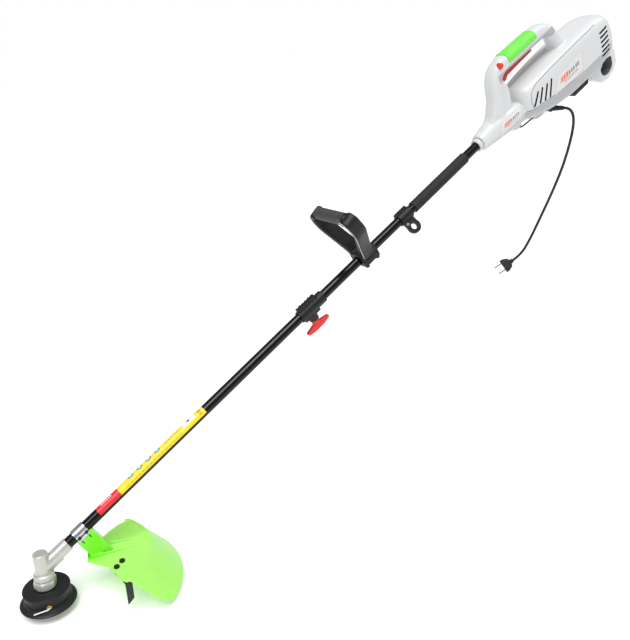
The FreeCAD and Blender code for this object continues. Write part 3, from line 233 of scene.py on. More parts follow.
def make_materials():
    """Every material by name; the tone colour is the darker colour that the attribute of that name mixes in, on
    the housing partly a two-tone lower band and partly painted shade.
    """
    m = {}
    # The shell's darker colour paints the two-tone lower band of the body, painted shade under the handle bar
    # and a soft darkening towards the bottom of the neck.
    m["shell"] = surface("shell", (0.635, 0.645, 0.645), (0.685, 0.695, 0.695), (0.30, 0.42), 25, 0.10, 1400,
                         tone_and_shade=(0.36, 0.37, 0.38))
    m["seam"] = surface("seam", (0.36, 0.36, 0.37), (0.42, 0.42, 0.43), (0.5, 0.6), 40, 0.05)
    # Near-black painted shade for the inside of the rear foot's pocket.
    m["pocket"] = surface("pocket", (0.10, 0.10, 0.11), (0.15, 0.15, 0.16), (0.5, 0.6), 40, 0.05)
    m["lime"] = surface("lime", (0.38, 0.90, 0.13), (0.43, 0.95, 0.17), (0.28, 0.42), 18, 0.08, 1200,
                        tone_and_shade=(0.20, 0.92, 0.012))
    m["lime_grip"] = surface("lime_grip", (0.14, 0.70, 0.06), (0.19, 0.78, 0.09), (0.45, 0.6), 40, 0.25, 1800)
    m["black"] = surface("black", (0.008, 0.007, 0.008), (0.015, 0.013, 0.015), (0.36, 0.52), 45, 0.3, 1500,
                         specular=0.32)
    m["rubber"] = surface("rubber", (0.012, 0.010, 0.012), (0.022, 0.019, 0.022), (0.5, 0.66), 50, 0.45, 1600,
                          specular=0.4)
    m["foam"] = surface("foam", (0.009, 0.007, 0.009), (0.017, 0.014, 0.017), (0.55, 0.72), 60, 0.6, 2200,
                        specular=0.4)
    m["tube"] = surface("tube", (0.003, 0.003, 0.003), (0.005, 0.004, 0.005), (0.10, 0.17), 30, 0.04, 1500,
                        specular=0.3)
    m["cast"] = surface("cast", (0.53, 0.515, 0.49), (0.66, 0.64, 0.61), (0.30, 0.42), 70, 0.55, 1300,
                        metallic=0.5)
    m["plated"] = surface("plated", (0.60, 0.59, 0.55), (0.72, 0.71, 0.67), (0.28, 0.42), 60, 0.2, 1300,
                          metallic=0.45)
    m["bright"] = surface("bright", (0.62, 0.62, 0.63), (0.74, 0.74, 0.75), (0.14, 0.26), 60, 0.1, 1500,
                          metallic=1.0, stretch=(1, 1, 6))
    m["steel"] = surface("steel", (0.36, 0.36, 0.37), (0.48, 0.48, 0.49), (0.26, 0.42), 90, 0.2, 1500,
                         metallic=1.0, stretch=(8, 1, 1))
    m["dark_steel"] = surface("dark_steel", (0.02, 0.02, 0.021), (0.035, 0.035, 0.036), (0.35, 0.5), 90, 0.2,
                              1500, metallic=0.6)
    m["brass"] = surface("brass", (0.62, 0.36, 0.11), (0.76, 0.48, 0.18), (0.22, 0.35), 90, 0.15, 1500,
                         metallic=1.0)
    # Light grey strip on the black front loop: a painted highlight along its flange edge.
    m["edge_highlight"] = surface("edge_highlight", (0.55, 0.54, 0.56), (0.66, 0.65, 0.67), (0.3, 0.4), 60, 0.1)
    m["grip"] = surface("grip", (0.030, 0.028, 0.031), (0.055, 0.052, 0.056), (0.42, 0.58), 50, 0.45, 1600)
    m["line"] = surface("line", (0.72, 0.72, 0.68), (0.82, 0.82, 0.78), (0.35, 0.45), 120, 0.1)
    m["red"] = surface("red", (0.72, 0.016, 0.012), (0.84, 0.026, 0.018), (0.26, 0.38), 40, 0.1, 1500)
    m["dark_red"] = surface("dark_red", (0.50, 0.014, 0.016), (0.62, 0.024, 0.024), (0.28, 0.42), 40, 0.1)
    m["label_red"] = surface("label_red", (0.74, 0.020, 0.030), (0.82, 0.030, 0.040), (0.25, 0.35), 30, 0.05)
    m["label_yellow"] = surface("label_yellow", (0.90, 0.68, 0.012), (0.96, 0.76, 0.03), (0.25, 0.35), 30, 0.05)
    m["label_white"] = surface("label_white", (0.78, 0.78, 0.76), (0.86, 0.86, 0.84), (0.25, 0.35), 30, 0.05)
    m["label_cyan"] = surface("label_cyan", (0.10, 0.55, 0.52), (0.16, 0.66, 0.62), (0.25, 0.35), 30, 0.05)
    m["label_ink"] = surface("label_ink", (0.035, 0.03, 0.02), (0.07, 0.06, 0.03), (0.3, 0.4), 30, 0.05)
    m["label_ochre"] = surface("label_ochre", (0.55, 0.38, 0.02), (0.62, 0.44, 0.03), (0.3, 0.4), 30, 0.05)
    m["plate_base"] = surface("plate_base", (0.70, 0.67, 0.66), (0.76, 0.73, 0.72), (0.3, 0.4), 60, 0.05)
    m["plate_edge"] = surface("plate_edge", (0.52, 0.52, 0.54), (0.58, 0.58, 0.60), (0.3, 0.4), 60, 0.05)
    m["plate_orange"] = surface("plate_orange", (0.80, 0.16, 0.08), (0.86, 0.22, 0.12), (0.3, 0.4), 60, 0.05)
    m["plate_grey"] = surface("plate_grey", (0.16, 0.15, 0.14), (0.24, 0.23, 0.22), (0.3, 0.4), 60, 0.05)
    m["copper"] = surface("copper", (0.50, 0.19, 0.08), (0.62, 0.26, 0.12), (0.3, 0.45), 200, 0.4, 1200,
                          metallic=0.9)
    m["laminate"] = surface("laminate", (0.25, 0.25, 0.26), (0.36, 0.36, 0.37), (0.4, 0.55), 150, 0.4, 2500,
                            metallic=0.9, stretch=(12, 1, 1))
    return m


# ---------------------------------------------------------------------------------------------- mesh tools


def mesh_from(bm, name="mesh"):
    bmesh.ops.recalc_face_normals(bm, faces=bm.faces)
    mesh = bpy.data.meshes.new(name)
    bm.to_mesh(mesh)
    bm.free()
    return mesh


def skin_rings(rings, cap=True, loop=False):
    """A closed skin through rings that all have the same number of points."""
    bm = bmesh.new()
    rows = [[bm.verts.new(p) for p in ring] for ring in rings]
    pairs = list(zip(rows, rows[1:]))
    if loop:
        pairs.append((rows[-1], rows[0]))
    for low, high in pairs:
        for i in range(len(low)):
            j = (i + 1) % len(low)
            bm.faces.new((low[i], low[j], high[j], high[i]))
    if cap and not loop:
        bm.faces.new(reversed(rows[0]))
        bm.faces.new(rows[-1])
    return mesh_from(bm)


def lathe(profile, segments=64):
    """A closed (radius, height) outline turned about Z; points on the axis are allowed."""
    bm = bmesh.new()
    rows = []
    for radius, height in profile:
        if radius < 1e-6:
            rows.append([bm.verts.new((0, 0, height))])
            continue
        row = []
        for i in range(segments):
            angle = 2 * math.pi * i / segments
            row.append(bm.verts.new((radius * math.cos(angle), radius * math.sin(angle), height)))
        rows.append(row)
    for low, high in zip(rows, rows[1:] + rows[:1]):
        if len(low) == 1 and len(high) == 1:
            continue
        for i in range(segments):
            j = (i + 1) % segments
            if len(low) == 1:
                bm.faces.new((low[0], high[j], high[i]))
            elif len(high) == 1:
                bm.faces.new((low[i], low[j], high[0]))
            else:
                bm.faces.new((low[i], low[j], high[j], high[i]))
    return mesh_from(bm)


def eased(points, radius=0.6, steps=3):
    """Rounds the corners of a closed (radius, height) outline that don't lie on the axis."""
    result = []
    for k, corner in enumerate(points):
        before, after = Vector(points[k - 1]), Vector(points[(k + 1) % len(points)])
        here = Vector(corner)
        if here.x < 1e-6:
            result.append(tuple(here))
            continue
        reach = min(radius, 0.45 * (before - here).length, 0.45 * (after - here).length)
        a = here + (before - here).normalized() * reach
        b = here + (after - here).normalized() * reach
        for i in range(steps + 1):
            t = i / steps
            result.append(tuple(a * (1 - t) ** 2 + here * 2 * t * (1 - t) + b * t * t))
    return result


def join(meshes):
    bm = bmesh.new()
    for mesh in meshes:
        bm.from_mesh(mesh)
    joined = bpy.data.meshes.new("joined")
    bm.to_mesh(joined)
    bm.free()
    return joined


def with_modifiers(mesh, build):
    """The mesh after the modifiers that build adds to a temporary object."""
    obj = bpy.data.objects.new("temporary", mesh)
    bpy.context.scene.collection.objects.link(obj)
    build(obj)
    graph = bpy.context.evaluated_depsgraph_get()
    graph.update()
    result = bpy.data.meshes.new_from_object(obj.evaluated_get(graph))
    bpy.data.objects.remove(obj)
    return result


def moulded(mesh, voxel, smooth=6, factor=0.5):
    """One closed skin round everything in the mesh, with softened edges; sizes in metres."""

    def build(obj):
        remesh = obj.modifiers.new("remesh", "REMESH")
        remesh.mode = "VOXEL"
        remesh.voxel_size = voxel
        remesh.use_smooth_shade = True
        if smooth:
            relax = obj.modifiers.new("smooth", "SMOOTH")
            relax.iterations = smooth
            relax.factor = factor

    return with_modifiers(mesh, build)


def carved(mesh, tools):
    """The mesh with tool meshes cut away; each tool's material shows on its cut."""
    holders = []

    def build(obj):
        for tool in tools:
            holder = bpy.data.objects.new("tool", tool)
            bpy.context.scene.collection.objects.link(holder)
            holders.append(holder)
            step = obj.modifiers.new("cut", "BOOLEAN")
            step.operation = "DIFFERENCE"
            step.solver = "EXACT"
            step.object = holder
            step.material_mode = "TRANSFER"

    result = with_modifiers(mesh, build)
    for holder in holders:
        bpy.data.objects.remove(holder)
    return result


def painted(mesh, material):
    mesh.materials.clear()
    mesh.materials.append(material)
    return mesh


def placed(mesh, matrix, material=None):
    """The mesh moved by the matrix, and given the material if there is one."""
    mesh.transform(matrix)
    return painted(mesh, material) if material else mesh


def add_piece(name, mesh, body, materials=None, stands_for=(), sharp=None):
    mesh.name = name
    if materials:
        if len(mesh.materials):
            mesh.materials.clear()
        for material in materials:
            mesh.materials.append(material)
    mesh.shade_smooth()
    if sharp:
        mesh.set_sharp_from_angle(angle=math.radians(sharp))
    obj = bpy.data.objects.new(name, mesh)
    bpy.context.scene.collection.objects.link(obj)
    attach(obj, body)
    if stands_for:
        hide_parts(*stands_for)
    return obj


def cad_copy(*names):
    return join([NODES[name].data for name in names])


def box_mesh(size, matrix):
    """A box centred on the matrix's place."""
    bm = bmesh.new()
    bmesh.ops.create_cube(bm, size=1)
    bmesh.ops.scale(bm, vec=Vector(size), verts=bm.verts)
    mesh = mesh_from(bm)
    mesh.transform(matrix)
    return mesh


def slot_mesh(length, width, depth, matrix, segments=10):
    """A round-ended slot: long in X, wide in Z, deep in Y, centred on the matrix's place."""
    outline = []
    half = length / 2 - width / 2
    for i in range(2 * segments):
        angle = -math.pi / 2 + math.pi * i / (segments - 1) if i < segments else (
            math.pi / 2 + math.pi * (i - segments) / (segments - 1))
        side = half if i < segments else -half
        outline.append((side + width / 2 * math.cos(angle), width / 2 * math.sin(angle)))
    rings = [[(x, y, z) for x, z in outline] for y in (-depth / 2, depth / 2)]
    mesh = skin_rings(rings)
    mesh.transform(matrix)
    return mesh


def tube_along(points, radii, segments=24):
    """A round bar through points with a radius for each; ends closed."""
    rings = []
    normal = None
    for k, point in enumerate(points):
        a = points[max(k - 1, 0)]
        b = points[min(k + 1, len(points) - 1)]
        way = (b - a).normalized()
        if normal is None:
            normal = way.orthogonal().normalized()
        normal = (normal - way * normal.dot(way)).normalized()
        side = way.cross(normal)
        ring = []
        for i in range(segments):
            angle = 2 * math.pi * i / segments
            ring.append(point + (normal * math.cos(angle) + side * math.sin(angle)) * radii[k])
        rings.append(ring)
    return skin_rings(rings)


def smooth_path(corners, reach, steps=8):
    """Points along straight runs whose corners are eased by the given reaches."""
    result = [corners[0]]
    for before, corner, after, length in zip(corners, corners[1:], corners[2:], reach):
        a = corner + (before - corner).normalized() * min(length, (before - corner).length * 0.5)
        b = corner + (after - corner).normalized() * min(length, (after - corner).length * 0.5)
        for i in range(steps + 1):
            t = i / steps
            result.append(a * (1 - t) ** 2 + corner * 2 * t * (1 - t) + b * t * t)
    result.append(corners[-1])
    return result


def divided(path, step):
    """The path with its long runs divided evenly."""
    result = [path[0]]
    for a, b in zip(path, path[1:]):
        count = max(1, round((b - a).length / step))
        result += [a.lerp(b, (i + 1) / count) for i in range(count)]
    return result


def swept_section(corners, reach, half_width, half_depth, power=3.0, count=36, steps=8, end_scale=None):
    """A rounded-rectangle bar in the middle plane: wide in Y, deep square to the path."""
    path = divided(smooth_path(corners, reach, steps), 6)
    rings = []
    for k, point in enumerate(path):
        way = (path[min(k + 1, len(path) - 1)] - path[max(k - 1, 0)]).normalized()
        side = Vector((0, 1, 0))
        out = way.cross(side).normalized()
        grow = end_scale((path[-1] - point).length) if end_scale else (1, 1)
        ring = []
        for i in range(count):
            angle = 2 * math.pi * i / count
            c, s = math.cos(angle), math.sin(angle)
            a = math.copysign(abs(c) ** (2 / power), c) * half_width * grow[0]
            b = math.copysign(abs(s) ** (2 / power), s) * half_depth * grow[1]
            ring.append(point + side * a + out * b)
        rings.append(ring)
    return skin_rings(rings)


def station_ring(u, top, bottom, half, power, top_power=None, count=72):
    """A rounded section at a shaft station; the upper half may have squarer corners than the lower."""
    middle, height = (top + bottom) / 2, (top - bottom) / 2
    ring = []
    for i in range(count):
        angle = 2 * math.pi * i / count
        c, s = math.cos(angle), math.sin(angle)
        ease = 2 / (top_power if top_power and s > 0 else power)
        y = math.copysign(abs(c) ** ease, c) * half
        v = middle + math.copysign(abs(s) ** ease, s) * height
        ring.append((u, y, v))
    return ring


def interpolated(sections, steps=6):
    """Catmull-Rom rows between given rows of numbers."""
    rows = []
    last = len(sections) - 1
    for k in range(last):
        p0, p1 = sections[max(k - 1, 0)], sections[k]
        p2, p3 = sections[k + 1], sections[min(k + 2, last)]
        for i in range(steps):
            t = i / steps
            row = []
            for a, b, c, d in zip(p0, p1, p2, p3):
                row.append(0.5 * (2 * b + (c - a) * t + (2 * a - 5 * b + 4 * c - d) * t * t
                                  + (3 * b - a - 3 * c + d) * t ** 3))
            rows.append(row)
    rows.append(list(sections[last]))
    return rows


# ---------------------------------------------------------------------------------------------- housing

NECK = (
    (1203, 18.5, -18.5, 18.5, 2.2),
    (1216, 20, -20.5, 20, 2.3),
    (1250, 23.5, -24.5, 22.5, 2.6),
    (1300, 20, -29, 24.5, 2.9),
    (1350, 16, -34, 26.5, 3.0),
    (1400, 14, -34, 26, 3.0),
)
BODY = (
    (1335.5, 27, -27, 27, 2.6, 3.0),
    (1341, 36, -33, 35, 2.8, 3.4),
    (1352, 41.5, -38, 39.5, 3.0, 4.4),
    (1385, 44.5, -47, 42.5, 3.2, 6.0),
    (1430, 46.5, -58, 44.5, 3.3, 7.0),
    (1480, 48, -65.5, 45.5, 3.3, 7.0),
    (1540, 49.5, -67.5, 45.8, 3.3, 7.0),
    (1600, 49.8, -67.8, 45.8, 3.2, 6.0),
    (1632, 46, -65, 43.5, 3.0, 4.6),
    (1652, 38, -58, 38, 2.8, 3.4),
    (1664, 24, -46, 29, 2.5, 2.8),
    (1668, 8, -30, 14, 2.2, 2.4),
)
SIDE_SLOTS = ((1352, -7, 1374, 19), (1369, -10, 1389, 20), (1385, -13, 1405, 19), (1401, -16, 1421, 21))


def handle_corners():
    return [Vector(p) for p in ((1270, 0, -8), (1303, 0, 111), (1495, 0, 106), (1522, 0, 2))]


def flared(left):
    """Width and depth factors of the handle by millimetres left to its rear foot.

    The leg is slim and its root is wide.
    """
    root = max(0.0, 1 - left / 66) ** 1.5
    slim = max(0.0, 1 - abs(left - 78) / 42)
    return 1 + 0.9 * root, 1 - 0.24 * slim ** 0.7 + 1.5 * root


def housing_blank():
    """The housing's outside as overlapping closed skins: neck, body, handle, gusset and cord boss."""
    parts = [
        skin_rings([station_ring(*row) for row in interpolated(NECK, 5)]),
        skin_rings([station_ring(*row) for row in interpolated(BODY, 5)]),
        swept_section(handle_corners(), [36, 40], 17.8, 16.8, 2.8, 44, 14, flared),
    ]
    gusset = [
        Vector((1226, 0, 8)),
        Vector((1254, 0, 30)),
        Vector((1284, 0, 78)),
        Vector((1312, 0, 96)),
        Vector((1326, 0, 62)),
        Vector((1318, 0, 10)),
    ]
    rings = []
    for y, shrink in ((-14.5, 6), (-12.5, 2), (-8, 0), (8, 0), (12.5, 2), (14.5, 6)):
        centre = sum(gusset, Vector()) / len(gusset)
        ring = []
        for p in gusset:
            way = (p - centre).normalized()
            ring.append(p - way * shrink + Vector((0, y, 0)))
        rings.append(ring)
    parts.append(skin_rings(rings))
    boss = [station_ring(*row) for row in interpolated(
        ((1370, -30, -50, 13, 3), (1378, -28, -59, 15, 3), (1402, -28, -61.5, 16, 3),
         (1420, -30, -60, 15, 3), (1423.5, -34, -56, 12, 3)), 3)]
    parts.append(skin_rings(boss))
    return join(parts)


def tone_and_shade_of(point):
    """How much of the darker grey shows at a point given in shaft stations: the body's two-tone lower band,
    painted shade under the handle bar, and a soft darkening towards the bottom of the neck.
    """
    u, y, v = point
    # The body's two-tone lower band, below the band seam.
    if 1330 < u < 1660 and v < 0:
        edge = -8.5 - 0.122 * (u - 1334) if u < 1520 else -31
        return max(0.0, min(1.0, (edge - v) / 1.6)) * 0.8
    # Painted shade on the underside of the handle bar.
    if 1300 < u < 1500 and 84 < v < 102.5:
        return max(0.0, min(1.0, (102.5 - v) / 1.5)) * 0.85
    # A soft darkening towards the bottom of the neck.
    if u < 1334 and v < -4:
        return max(0.0, min(1.0, (-4 - v) / 14)) * 0.45
    return 0.0


SLOT_DEPTH = 22
SEAM_RADIUS = 0.0013
SEAM_STANDOFF = 0.0003
BAND_LINE = ((1336, -9), (1372, -13), (1433, -21), (1520, -30), (1600, -31), (1646, -30))
PANEL_LINE = ((1350, -10), (1348, 8), (1354, 26), (1374, 36), (1430, 40.6), (1520, 42.6), (1598, 43))


def on_skin(skin, side, point):
    """The point of a skin met by a level ray from one side, at the (u, v) of a point in shaft stations."""
    start = SHAFT @ Vector((point.x, side * 90, point.z))
    way = (SHAFT.to_3x3() @ Vector((0, -side, 0))).normalized()
    hit = skin.ray_cast(start, way)[0]
    return hit - way * SEAM_STANDOFF


def vent_cutters(m):
    """The slanted slots on both sides and the louvres wrapped round the body's rear corners; their cut walls
    are painted black as painted shade inside the slots.
    """
    cutters = []
    for u0, v0, u1, v1 in SIDE_SLOTS:
        length = math.hypot(u1 - u0, v1 - v0)
        tilt = Matrix.Rotation(-math.atan2(v1 - v0, u1 - u0), 4, "Y")
        for side in (-1, 1):
            place = on_shaft((u0 + u1) / 2, side * 46, (v0 + v1) / 2) @ tilt
            cutters.append(painted(slot_mesh(length, 5.2, SLOT_DEPTH, place), m["black"]))
    for index in range(6):
        place = on_shaft(1621 - 1.2 * index, 0, 17 - 10.6 * index)
        for side in (-1, 1):
            shift = Matrix.Translation((0, side * 45, 0))
            turn = Matrix.Rotation(math.radians(-side * 24), 4, "Z")
            cutters.append(painted(slot_mesh(33, 4.8, SLOT_DEPTH, place @ shift @ turn), m["black"]))
    return cutters


def opening_cutters(m):
    """The trigger slot, the lock-out hole, the shaft tube's hole and the slot under the handle's rear; their
    cut walls are painted black as painted shade inside the openings.
    """
    trigger_slot = box_mesh((116, 13.2, 16), on_shaft(1373, 0, 95))
    button_hole = lathe([(0, -6), (6.9, -6), (6.9, 5), (0, 5)])
    tube_hole = lathe([(0, -20), (10.3, -20), (10.3, 6), (0, 6)])
    underside = slot_mesh(66, 9, 10, on_shaft(1452, 0, 90) @ Matrix.Rotation(math.radians(90), 4, "X"))
    button_hole = placed(button_hole, on_shaft(1317, -19, 117.4) @ TO_Y)
    tube_hole = placed(tube_hole, along_shaft(1206))
    return [painted(mesh, m["black"]) for mesh in (trigger_slot, button_hole, tube_hole, underside)]


def groove_cutters(m, blank):
    """The fine seams on both sides of the body, traced on the skin of the blank."""
    cutters = []
    skin = BVHTree.FromPolygons([v.co for v in blank.vertices], [tuple(p.vertices) for p in blank.polygons])
    for side in (-1, 1):
        for corners, reach in ((BAND_LINE, [12] * 4), (PANEL_LINE, [6, 8, 10, 14, 14])):
            path = smooth_path([Vector((u, 0, v)) for u, v in corners], reach, 5)
            traced = [on_skin(skin, side, point) for point in divided(path, 6)]
            groove = tube_along(traced, [SEAM_RADIUS] * len(traced), 8)
            cutters.append(painted(groove, m["seam"]))
    return cutters


def make_housing(m):
    blank = placed(housing_blank(), SHAFT)
    blank = moulded(blank, 0.0016, 7, 0.5)
    cutters = vent_cutters(m) + opening_cutters(m) + groove_cutters(m, blank)
    shell = carved(painted(blank, m["shell"]), cutters)
    # Darker grey by vertex: the two-tone band, painted shade under the handle bar and a soft darkening under
    # the neck.
    tone_and_shade = shell.attributes.new("tone_and_shade", "FLOAT", "POINT")
    back = SHAFT.inverted()
    tone_and_shade.data.foreach_set("value", [tone_and_shade_of(back @ vertex.co) for vertex in shell.vertices])
    return add_piece("housing", shell, "handle_unit", None,
                     ("housing_left", "housing_right"), sharp=38)


def plate_on(target, corners, name, materials, nv, side=-1, stands_for=()):
    """A thin plate that follows the housing: corners in shaft stations (u, v), nv rows of painted cells."""
    nu = 80
    lift, thickness = 0.0004, 0.00035
    tree = BVHTree.FromPolygons([v.co for v in target.data.vertices],
                                [tuple(p.vertices) for p in target.data.polygons])
    back = SHAFT.inverted()
    look = (SHAFT.to_3x3() @ Vector((0, -side, 0))).normalized()
    bm = bmesh.new()
    grid = []
    for j in range(nv + 1):
        row = []
        t = j / nv
        for i in range(nu + 1):
            s = i / nu
            low = corners[0].lerp(corners[1], s)
            high = corners[3].lerp(corners[2], s)
            spot = low.lerp(high, t)
            start = SHAFT @ Vector((spot.x, side * 90, spot.y))
            hit, normal, _, _ = tree.ray_cast(start, look)
            if hit is None:
                hit, normal = SHAFT @ Vector((spot.x, side * 40, spot.y)), -look
            row.append((hit + normal * lift, hit + normal * (lift - thickness)))
        grid.append(row)
    top = [[bm.verts.new(p[0]) for p in row] for row in grid]
    low = [[bm.verts.new(p[1]) for p in row] for row in grid]
    for j in range(nv):
        for i in range(nu):
            face = bm.faces.new((top[j][i], top[j][i + 1], top[j + 1][i + 1], top[j + 1][i]))
            face.material_index = plate_paint((i + 0.5) / nu, (j + 0.5) / nv)
            bm.faces.new((low[j][i], low[j + 1][i], low[j + 1][i + 1], low[j][i + 1]))
    rim = [(j, 0) for j in range(nv)] + [(nv, i) for i in range(nu)]
    rim += [(j, nu) for j in range(nv, 0, -1)] + [(0, i) for i in range(nu, 0, -1)]
    for (j0, i0), (j1, i1) in zip(rim, rim[1:] + rim[:1]):
        bm.faces.new((top[j0][i0], top[j1][i1], low[j1][i1], low[j0][i0]))
    add_piece(name, mesh_from(bm), "handle_unit", materials, stands_for)


def plate_paint(s, t):
    """Pale plate with a thin border, an orange block with rounded corners and rows of plain bars."""
    if s < 0.015 or s > 0.985 or t < 0.04 or t > 0.96:
        return 1
    if 0.16 < s < 0.46 and 0.42 < t < 0.74:
        corner = min(s - 0.16, 0.46 - s) * 3 + min(t - 0.42, 0.74 - t)
        if corner < 0.06:
            return 0
        return 0 if (s - 0.175) % 0.09 < 0.020 and 0.49 < t < 0.67 else 2
    if 0.48 < s < 0.86 and 0.48 < t < 0.66:
        return 3 if (s - 0.48) % 0.08 < 0.050 else 0
    if 0.32 < s < 0.82 and 0.26 < t < 0.36:
        return 3 if (s - 0.32) % 0.05 < 0.030 else 0
    return 0


def make_labels(m, housing):
    inks = [m["plate_base"], m["plate_edge"], m["plate_orange"], m["plate_grey"]]
    big = [Vector(p) for p in ((1417, -22), (1524, -24), (1534, 21), (1434, 12))]
    plate_on(housing, big, "label_plate_near", inks, 30, stands_for=("label_plate",))
    small = [Vector(p) for p in ((1246, -14), (1324, -10), (1330, 12), (1260, 12))]
    plate_on(housing, small, "neck_plate_near", inks, 26)
    far = [Vector(p) for p in ((1524, -24), (1417, -22), (1434, 12), (1534, 21))]
    plate_on(housing, far, "label_plate_far", inks, 30, side=1)


def make_housing_trim(m, housing):
    grip = moulded(cad_copy("grip_insert"), 0.0007, 10, 0.5)
    add_piece("grip_pad", grip, "handle_unit", [m["lime_grip"]], ("grip_insert",))

    lever = moulded(cad_copy("trigger"), 0.0007, 8, 0.5)
    add_piece("trigger_lever", lever, "trigger", [m["dark_red"]], ("trigger",))

    button = lathe(eased([(0, -0.9), (4.0, -0.5), (6.1, 1.6), (6.1, 11.5), (0, 11.5)], 1.2, 6))
    add_piece("lockout_cap", placed(button, on_shaft(1317, -21, 117.4) @ TO_Y), "lockout",
              [m["red"]], ("lockout_button",), sharp=50)

    skid = moulded(cad_copy("rear_skid"), 0.0012, 14, 0.5)
    # The rear foot's pocket is cut with a near-black material: painted shade inside the recess.
    outline = [(1646, -70), (1664, -72), (1659, -100), (1637, -108), (1617, -101), (1613, -82), (1630, -71)]
    corners = [Vector((u, 0, v)) for u, v in outline + outline[:1]]
    rounded = smooth_path(corners, [9] * 6, 5)[:-1]
    rings = [[point + Vector((0, y, 0)) for point in rounded] for y in (-24, 7.4)]
    pocket = placed(skin_rings(rings), SHAFT, m["pocket"])
    skid = carved(painted(skid, m["shell"]), [pocket])
    add_piece("rear_foot", skid, "handle_unit", None, ("rear_skid",), sharp=50)
    pad = moulded(cad_copy("base_pad"), 0.0010, 8, 0.5)
    add_piece("base_strip", pad, "handle_unit", [m["black"]], ("base_pad",))

    corners = [Vector(p) for p in ((1318, -9, -36), (1327, -9.5, -43), (1368, -10, -46.5), (1375, -10, -41),
                                   (1362, -9, -33))]
    path = smooth_path(corners, [5, 6, 5], 5)
    wire = placed(tube_along(path, [1.7] * len(path), 12), SHAFT)
    base = skin_rings([station_ring(*row) for row in interpolated(
        ((1299, -22, -34, 7, 3), (1306, -22, -39, 8, 3), (1320, -24, -43, 8, 3), (1330, -26, -41, 6, 3)), 3)])
    base = moulded(placed(base, on_shaft(0, -3, 0)), 0.0009, 6)
    add_piece("cord_hook_wire", wire, "handle_unit", [m["dark_steel"]], ("cord_hook",))
    add_piece("cord_hook_base", base, "handle_unit", [m["shell"]])

    collar = lathe(eased([(10.1, 0), (14.3, 0), (14.3, 3), (13.2, 3.4), (13.2, 4.4), (14.3, 4.8), (14.3, 8.9),
                          (10.1, 8.9)], 0.7))
    add_piece("neck_ring", placed(collar, along_shaft(1192.95)), "handle_unit", [m["shell"]],
              ("neck_collar",), sharp=50)


# ---------------------------------------------------------------------------------------------- head, guard


def make_head(m):
    case = moulded(cad_copy("gear_case", "gear_case_cap"), 0.0008, 7, 0.5)
    add_piece("gear_casting", case, "lower_unit", [m["cast"]], ("gear_case", "gear_case_cap"))
    collar = moulded(cad_copy("adapter_collar"), 0.0006, 3, 0.5)
    add_piece("adapter_nut", collar, "cutting_head", [m["plated"]], ("adapter_collar",))

    profile = [
        (3.6, -35.6), (11.8, -35.6), (13.4, -37), (22, -37.0), (22.6, -37.5), (38.6, -37.6), (39.7, -38.6),
        (39.7, -40.2), (37.5, -40.8), (37.4, -56.9), (35, -56.9), (35, -40), (3.6, -40),
    ]
    drum = lathe(eased(profile, 0.8), 160)
    ribs = []
    for index in range(40):
        angle = 2 * math.pi * index / 40
        turn = Matrix.Rotation(angle, 4, "Z")
        if index % 20 in (8, 9):
            continue
        ribs.append(box_mesh((0.9, 2.2, 13.5), turn @ Matrix.Translation((37.5, 0, -49.5))))
    drum = join([drum] + ribs)
    holes = []
    for bearing in (-103, 77):
        hole = lathe([(0, 30), (3.25, 30), (3.25, 42), (0, 42)], 32)
        turn = Matrix.Rotation(math.radians(bearing), 4, "Z") @ UP_SHAFT
        holes.append(placed(hole, Matrix.Translation((0, 0, -53)) @ turn, m["black"]))
    drum = carved(painted(drum, m["black"]), holes)
    add_piece("spool_drum", placed(drum, HEAD), "cutting_head", None,
              ("spool_housing",), sharp=40)

    profile = [
        (33.6, -57.1), (37.9, -57.1), (38.6, -59), (40.4, -60.9), (45.2, -62.9), (47.3, -64.6), (47.5, -65.4),
        (47.0, -65.95), (20.6, -65.95), (20.6, -63.1), (33.6, -63.1),
    ]
    cover = lathe(eased(profile, 0.5), 160)
    add_piece("spool_skirt", placed(cover, HEAD), "cutting_head", [m["black"]],
              ("spool_cover",), sharp=40)

    profile = [(8, -57.1), (19, -57.1), (19.9, -58), (19.9, -71), (18, -74.5), (14.5, -77.4), (9, -78.8),
               (0, -78.9), (0, -66), (8, -66)]
    knob = lathe(eased(profile, 1.0), 96)
    add_piece("bump_button", placed(knob, HEAD), "spool", [m["black"]],
              ("bump_knob",), sharp=45)

    rings = []
    for bearing in (-103, 77):
        profile = [
            (1.75, 34.7), (3.15, 34.7), (3.15, 37.6), (4.15, 37.8), (4.0, 38.5), (2.6, 38.55), (1.75, 37.9),
        ]
        ring = lathe(eased(profile, 0.25), 40)
        turn = Matrix.Rotation(math.radians(bearing), 4, "Z") @ UP_SHAFT
        rings.append(placed(ring, Matrix.Translation((0, 0, -53)) @ turn))
    add_piece("eyelet_rings", placed(join(rings), HEAD), "cutting_head", [m["brass"]],
              ("line_eyelets",), sharp=50)


def make_guard(m):
    shell = moulded(cad_copy("guard"), 0.00085, 8, 0.5)
    back = HEAD.inverted()
    values = []
    for vertex in shell.vertices:
        place = back @ vertex.co
        near = math.hypot(place.x - 84, place.y) - 20 + max(0, -8 - place.z) * 6
        values.append(max(0.0, min(1.0, 1 - near / 22)))
    shell.attributes.new("tone_and_shade", "FLOAT", "POINT").data.foreach_set("value", values)
    add_piece("guard_shell", shell, "lower_unit", [m["lime"]], ("guard",))
    blade = moulded(cad_copy("cutter_blade"), 0.0005, 1, 0.3)
    add_piece("line_cutter", blade, "lower_unit", [m["dark_steel"]], ("cutter_blade",))


# ---------------------------------------------------------------------------------------------- shaft


